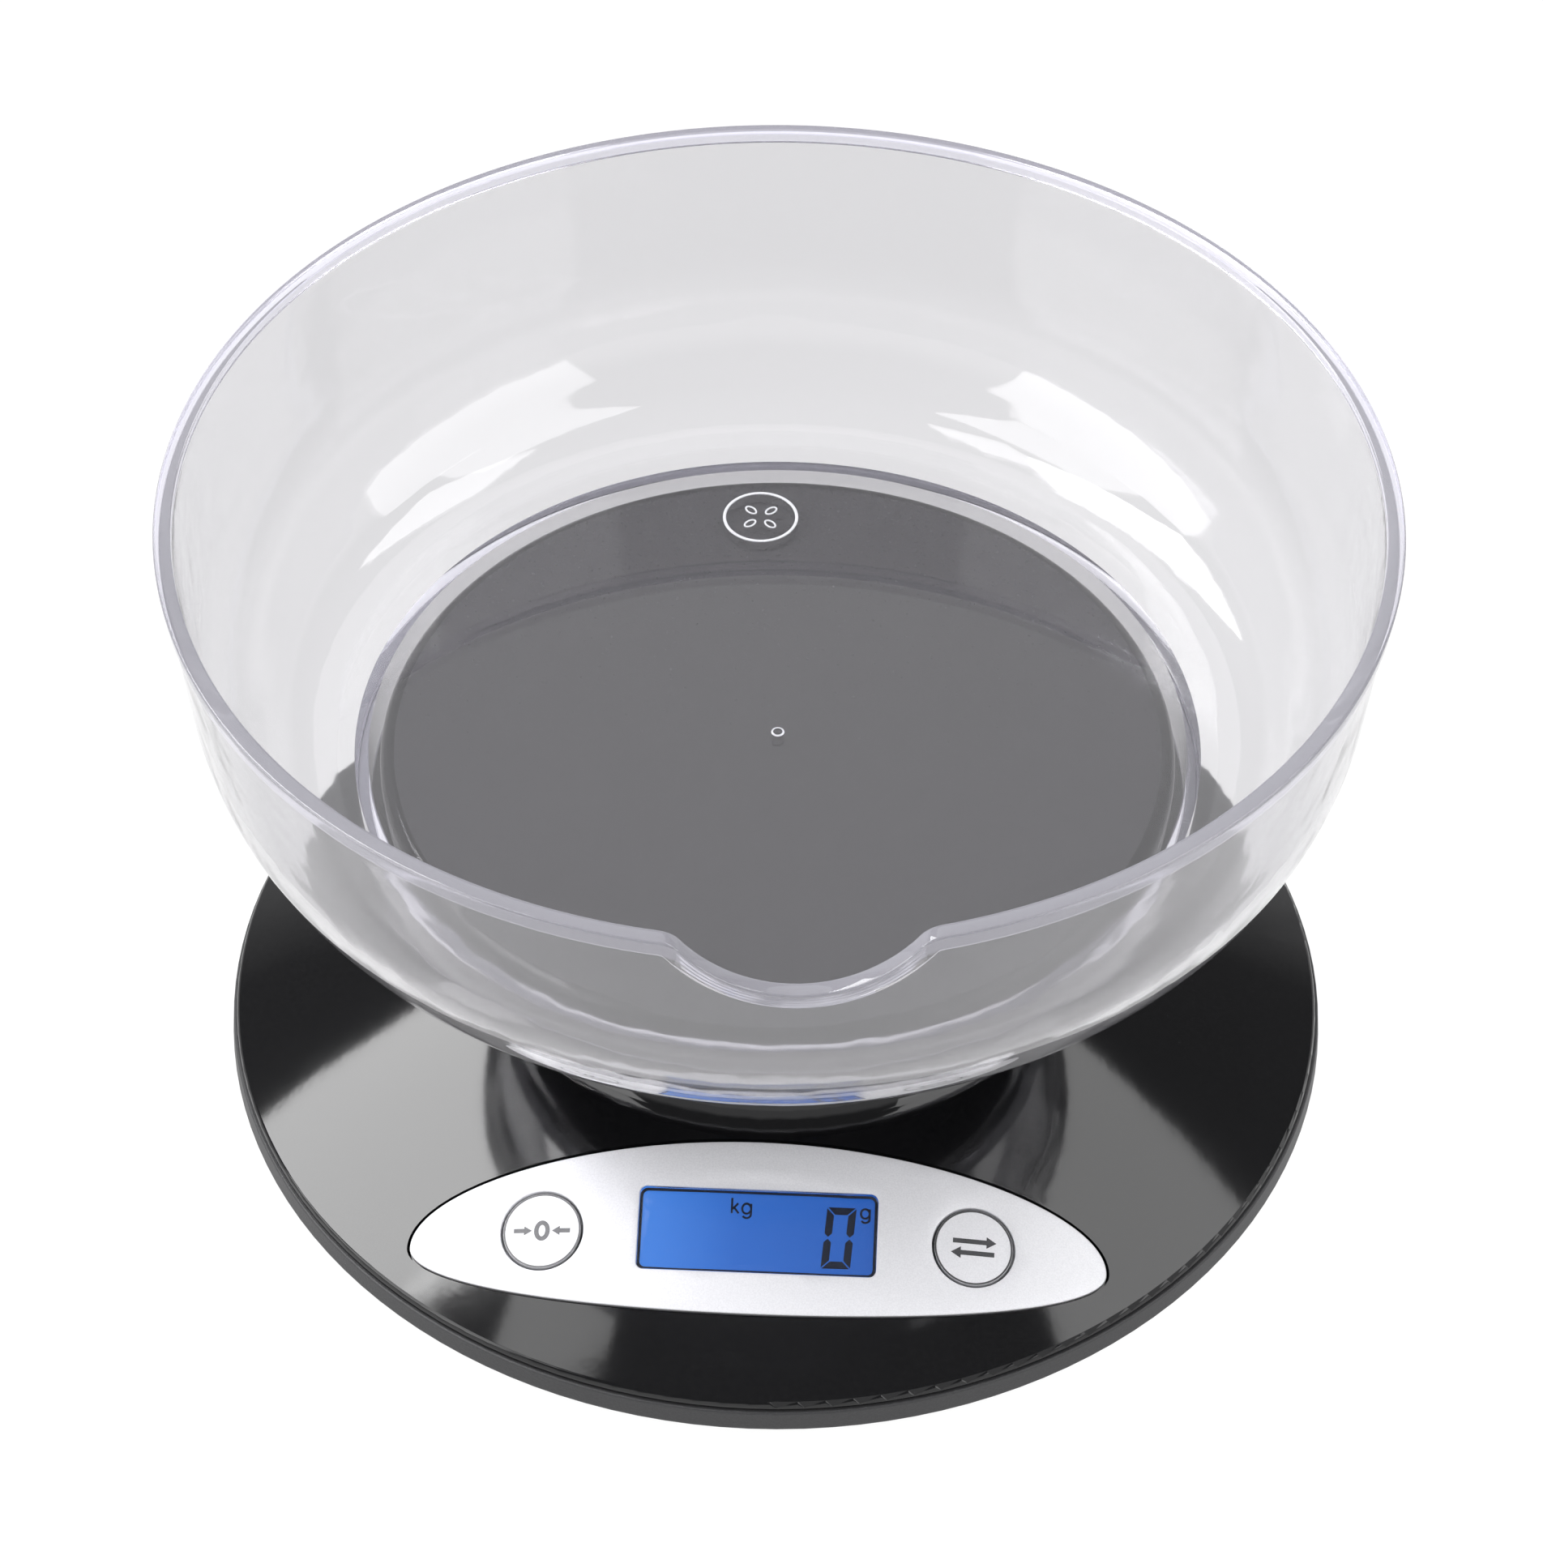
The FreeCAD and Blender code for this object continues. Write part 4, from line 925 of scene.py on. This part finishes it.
for entry in frame["record"]["subparts"]:
    node = frame["nodes"][entry["node"]]
    node.data.materials.clear()
    node.data.materials.append(FINISHES[entry["material_slot"]])
    smooth_cad(node)

# ---- pieces that stand for CAD nodes --------------------------------------------------------
clear_bowl = bowl()
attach(clear_bowl, "bowl")
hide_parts("bowl", "bowl_foot_ring")
for mark in bowl_mark():
    mark.data.materials.append(MARK_CLEAR)
    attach(mark, "bowl")

dish = platform()
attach(dish, "platform")
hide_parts("platform")

key_holes = [circle_outline(side * BUTTON_S, BUTTON_T, BUTTON_HOLE_RADIUS) for side in (-1, 1)]
panel_holes = [window_outline(0.0, WINDOW_CORNER)] + key_holes
panel = wear_finish(
    cone_plate("panel_skin", eye_outline(), panel_holes, 0.0, PANEL_BACK, PANEL_EDGE, PANEL_CELLS),
    "silver_paint", "base")
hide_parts("display_panel")

lens = wear_finish(
    cone_plate("window_lens", window_outline(LENS_GAP, WINDOW_CORNER), [], LENS_TOP, LENS_BOTTOM,
               LENS_EDGE, LENS_CELLS),
    "window_clear", "base")
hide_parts("lcd_window")

border_hole = window_outline(BORDER_GAP + 2 * BORDER_WIDTH, WINDOW_CORNER * 0.7)
border = cone_plate("window_border", window_outline(BORDER_GAP, WINDOW_CORNER), [border_hole],
                    BORDER_TOP, BORDER_BOTTOM, BORDER_EDGE, FEW_CELLS)
border.data.materials.append(SEGMENT_INK)
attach(border, "base")

bars = prints("lcd_bars", digit_segments(), INK_BOTTOM, INK_TOP, panel_point)
bars.data.materials.append(SEGMENT_INK)
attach(bars, "base")
unit_shapes = small_k(*UNIT_K) + small_g(*UNIT_KG) + small_g(*UNIT_G)
units = prints("lcd_units", unit_shapes, INK_BOTTOM, INK_TOP, panel_point)
units.data.materials.append(SEGMENT_INK)
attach(units, "base")

for side, shapes, ink, body, label in ((-1, tare_sign(), SIGN_GREY, "tare_button", "tare_sign"),
                                       (1, mode_sign(), SIGN_DARK, "mode_button", "mode_sign")):
    sign = prints(label, shapes, SIGN_BOTTOM, SIGN_TOP, on_cone)
    sign.data.materials.append(ink)
    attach(sign, body)
    # The ring takes the sign's ink: dark at the mode key as painted shade of the gap, grey at the tare key as
    # a painted highlight.
    gap_shade_ring = cone_plate(label + "_gap_shade_ring", circle_outline(side * BUTTON_S, BUTTON_T, BUTTON_RADIUS - SHADE_RING_GAP),
                       [circle_outline(side * BUTTON_S, BUTTON_T, BUTTON_RADIUS - SHADE_RING_WIDTH)],
                       SHADE_RING_TOP, SIGN_BOTTOM, SHADE_RING_EDGE, FEW_CELLS)
    gap_shade_ring.data.materials.append(ink)
    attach(gap_shade_ring, body)


# ---- floor, light and camera ----------------------------------------------------------------
FLOOR_HALF = 6.0
FLOOR_Z = -0.0002             # just under the feet, so that no two faces lie in one plane
CENTRE = (0, 0, 0.06)         # the scale's middle, where the softboxes point
FLOOR_BACK = (0, 0.046, 0.069)    # the back of the bowl's floor, where the round lamp points
LAMP_DISTANCE = 1.3
SOFTBOXES = (                 # name, azimuth from +X, elevation, width, height, strength
    ("left_bank", 154, 51.5, 0.58, 0.72, 10.0),
    ("left_top", 177, 69.5, 0.40, 0.24, 3.4),
    ("right_bank", 20, 54.5, 0.52, 0.48, 3.4),
    ("right_low", -19, 27, 1.16, 0.42, 2.6),
    ("right_upper", -22, 48, 0.68, 0.56, 2.6),
    ("left_low", -162, 25, 1.16, 0.50, 3.4),
    ("left_upper", -159, 48, 0.68, 0.56, 3.0),
)
CAMERA_PLACE = Vector((-0.00105, -0.5759, 0.6247))
CAMERA_PITCH = math.radians(44.56)
CAMERA_ROLL = math.radians(0.32)
CAMERA_TURN = math.radians(2.5)
CAMERA_LENS = 106.83


def floor():
    """A wide pale floor that glows evenly, as a backlit studio table does."""
    mesh = bpy.data.meshes.new("floor")
    half, low = FLOOR_HALF, FLOOR_Z
    corners = [(-half, -half, low), (half, -half, low), (half, half, low), (-half, half, low)]
    mesh.from_pydata(corners, [], [[0, 1, 2, 3]])
    item = bpy.data.objects.new("floor", mesh)
    bpy.context.scene.collection.objects.link(item)
    material = bpy.data.materials.new("floor_pale")
    material.use_nodes = True
    shader = material.node_tree.nodes["Principled BSDF"]
    shader.inputs["Base Color"].default_value = (0.06, 0.06, 0.06, 1)
    shader.inputs["Roughness"].default_value = 0.9
    shader.inputs["Specular IOR Level"].default_value = 0.0
    shader.inputs["Emission Color"].default_value = (1, 1, 1, 1)
    shader.inputs["Emission Strength"].default_value = 0.98
    mesh.materials.append(material)


def around(azimuth, elevation):
    """A lamp's place, from its azimuth and elevation in degrees seen from the scale's middle."""
    a, e = math.radians(azimuth), math.radians(elevation)
    return (LAMP_DISTANCE * math.cos(a) * math.cos(e),
            LAMP_DISTANCE * math.sin(a) * math.cos(e),
            CENTRE[2] + LAMP_DISTANCE * math.sin(e))


def lamp(name, shape, place, aim, size, area, strength):
    """A studio light of a given radiance that points at aim."""
    data = bpy.data.lights.new(name, "AREA")
    data.shape = shape
    data.size, data.size_y = size
    data.energy = strength * area * math.pi
    item = bpy.data.objects.new(name, data)
    item.location = place
    item.rotation_euler = (Vector(aim) - Vector(place)).to_track_quat("-Z", "Y").to_euler()
    bpy.context.scene.collection.objects.link(item)


def softbox(name, azimuth, elevation, width, height, strength):
    """A rectangular light that points at the scale's middle."""
    lamp(name, "RECTANGLE", around(azimuth, elevation), CENTRE, (width, height), width * height, strength)


def round_lamp(name, azimuth, elevation, aim, width, strength):
    """A round light that points at aim."""
    area = math.pi * (width / 2) ** 2
    lamp(name, "DISK", around(azimuth, elevation), aim, (width, width), area, strength)


def studio_sky():
    """A grey room: pale walls low down, dark above."""
    world = bpy.data.worlds.new("studio")
    bpy.context.scene.world = world
    world.use_nodes = True
    nodes, links = world.node_tree.nodes, world.node_tree.links
    place = nodes.new("ShaderNodeTexCoord")
    split = nodes.new("ShaderNodeSeparateXYZ")
    links.new(place.outputs["Generated"], split.inputs["Vector"])
    ramp = nodes.new("ShaderNodeValToRGB")
    ramp.color_ramp.elements[0].position = 0.30
    ramp.color_ramp.elements[0].color = (0.80, 0.80, 0.81, 1)
    ramp.color_ramp.elements[1].position = 0.46
    ramp.color_ramp.elements[1].color = (0.17, 0.17, 0.175, 1)
    links.new(split.outputs["Z"], ramp.inputs["Fac"])
    links.new(ramp.outputs["Color"], nodes["Background"].inputs["Color"])


def camera():
    """The camera, in front of the display and above it, and moved round the scale by CAMERA_TURN."""
    data = bpy.data.cameras.new("camera")
    data.sensor_fit = "HORIZONTAL"
    data.sensor_width = 36.0
    data.lens = CAMERA_LENS
    data.clip_start = 0.05
    data.clip_end = 30.0
    item = bpy.data.objects.new("camera", data)
    forward = Vector((0, math.cos(CAMERA_PITCH), -math.sin(CAMERA_PITCH)))
    above = Vector((0, math.sin(CAMERA_PITCH), math.cos(CAMERA_PITCH)))
    level = Vector((1, 0, 0))
    right = level * math.cos(CAMERA_ROLL) + above * math.sin(CAMERA_ROLL)
    up = above * math.cos(CAMERA_ROLL) - level * math.sin(CAMERA_ROLL)
    axes = Matrix((right, up, -forward)).transposed()
    turn = Matrix.Rotation(CAMERA_TURN, 3, "Z")
    item.matrix_world = Matrix.Translation(turn @ CAMERA_PLACE) @ (turn @ axes).to_4x4()
    bpy.context.scene.collection.objects.link(item)
    bpy.context.scene.camera = item


floor()
studio_sky()
for box in SOFTBOXES:
    softbox(*box)
round_lamp("back_disc", 90, 57.6, FLOOR_BACK, 0.92, 0.78)
camera()
scene = bpy.context.scene
scene.view_settings.view_transform = "Standard"
scene.view_settings.look = "None"
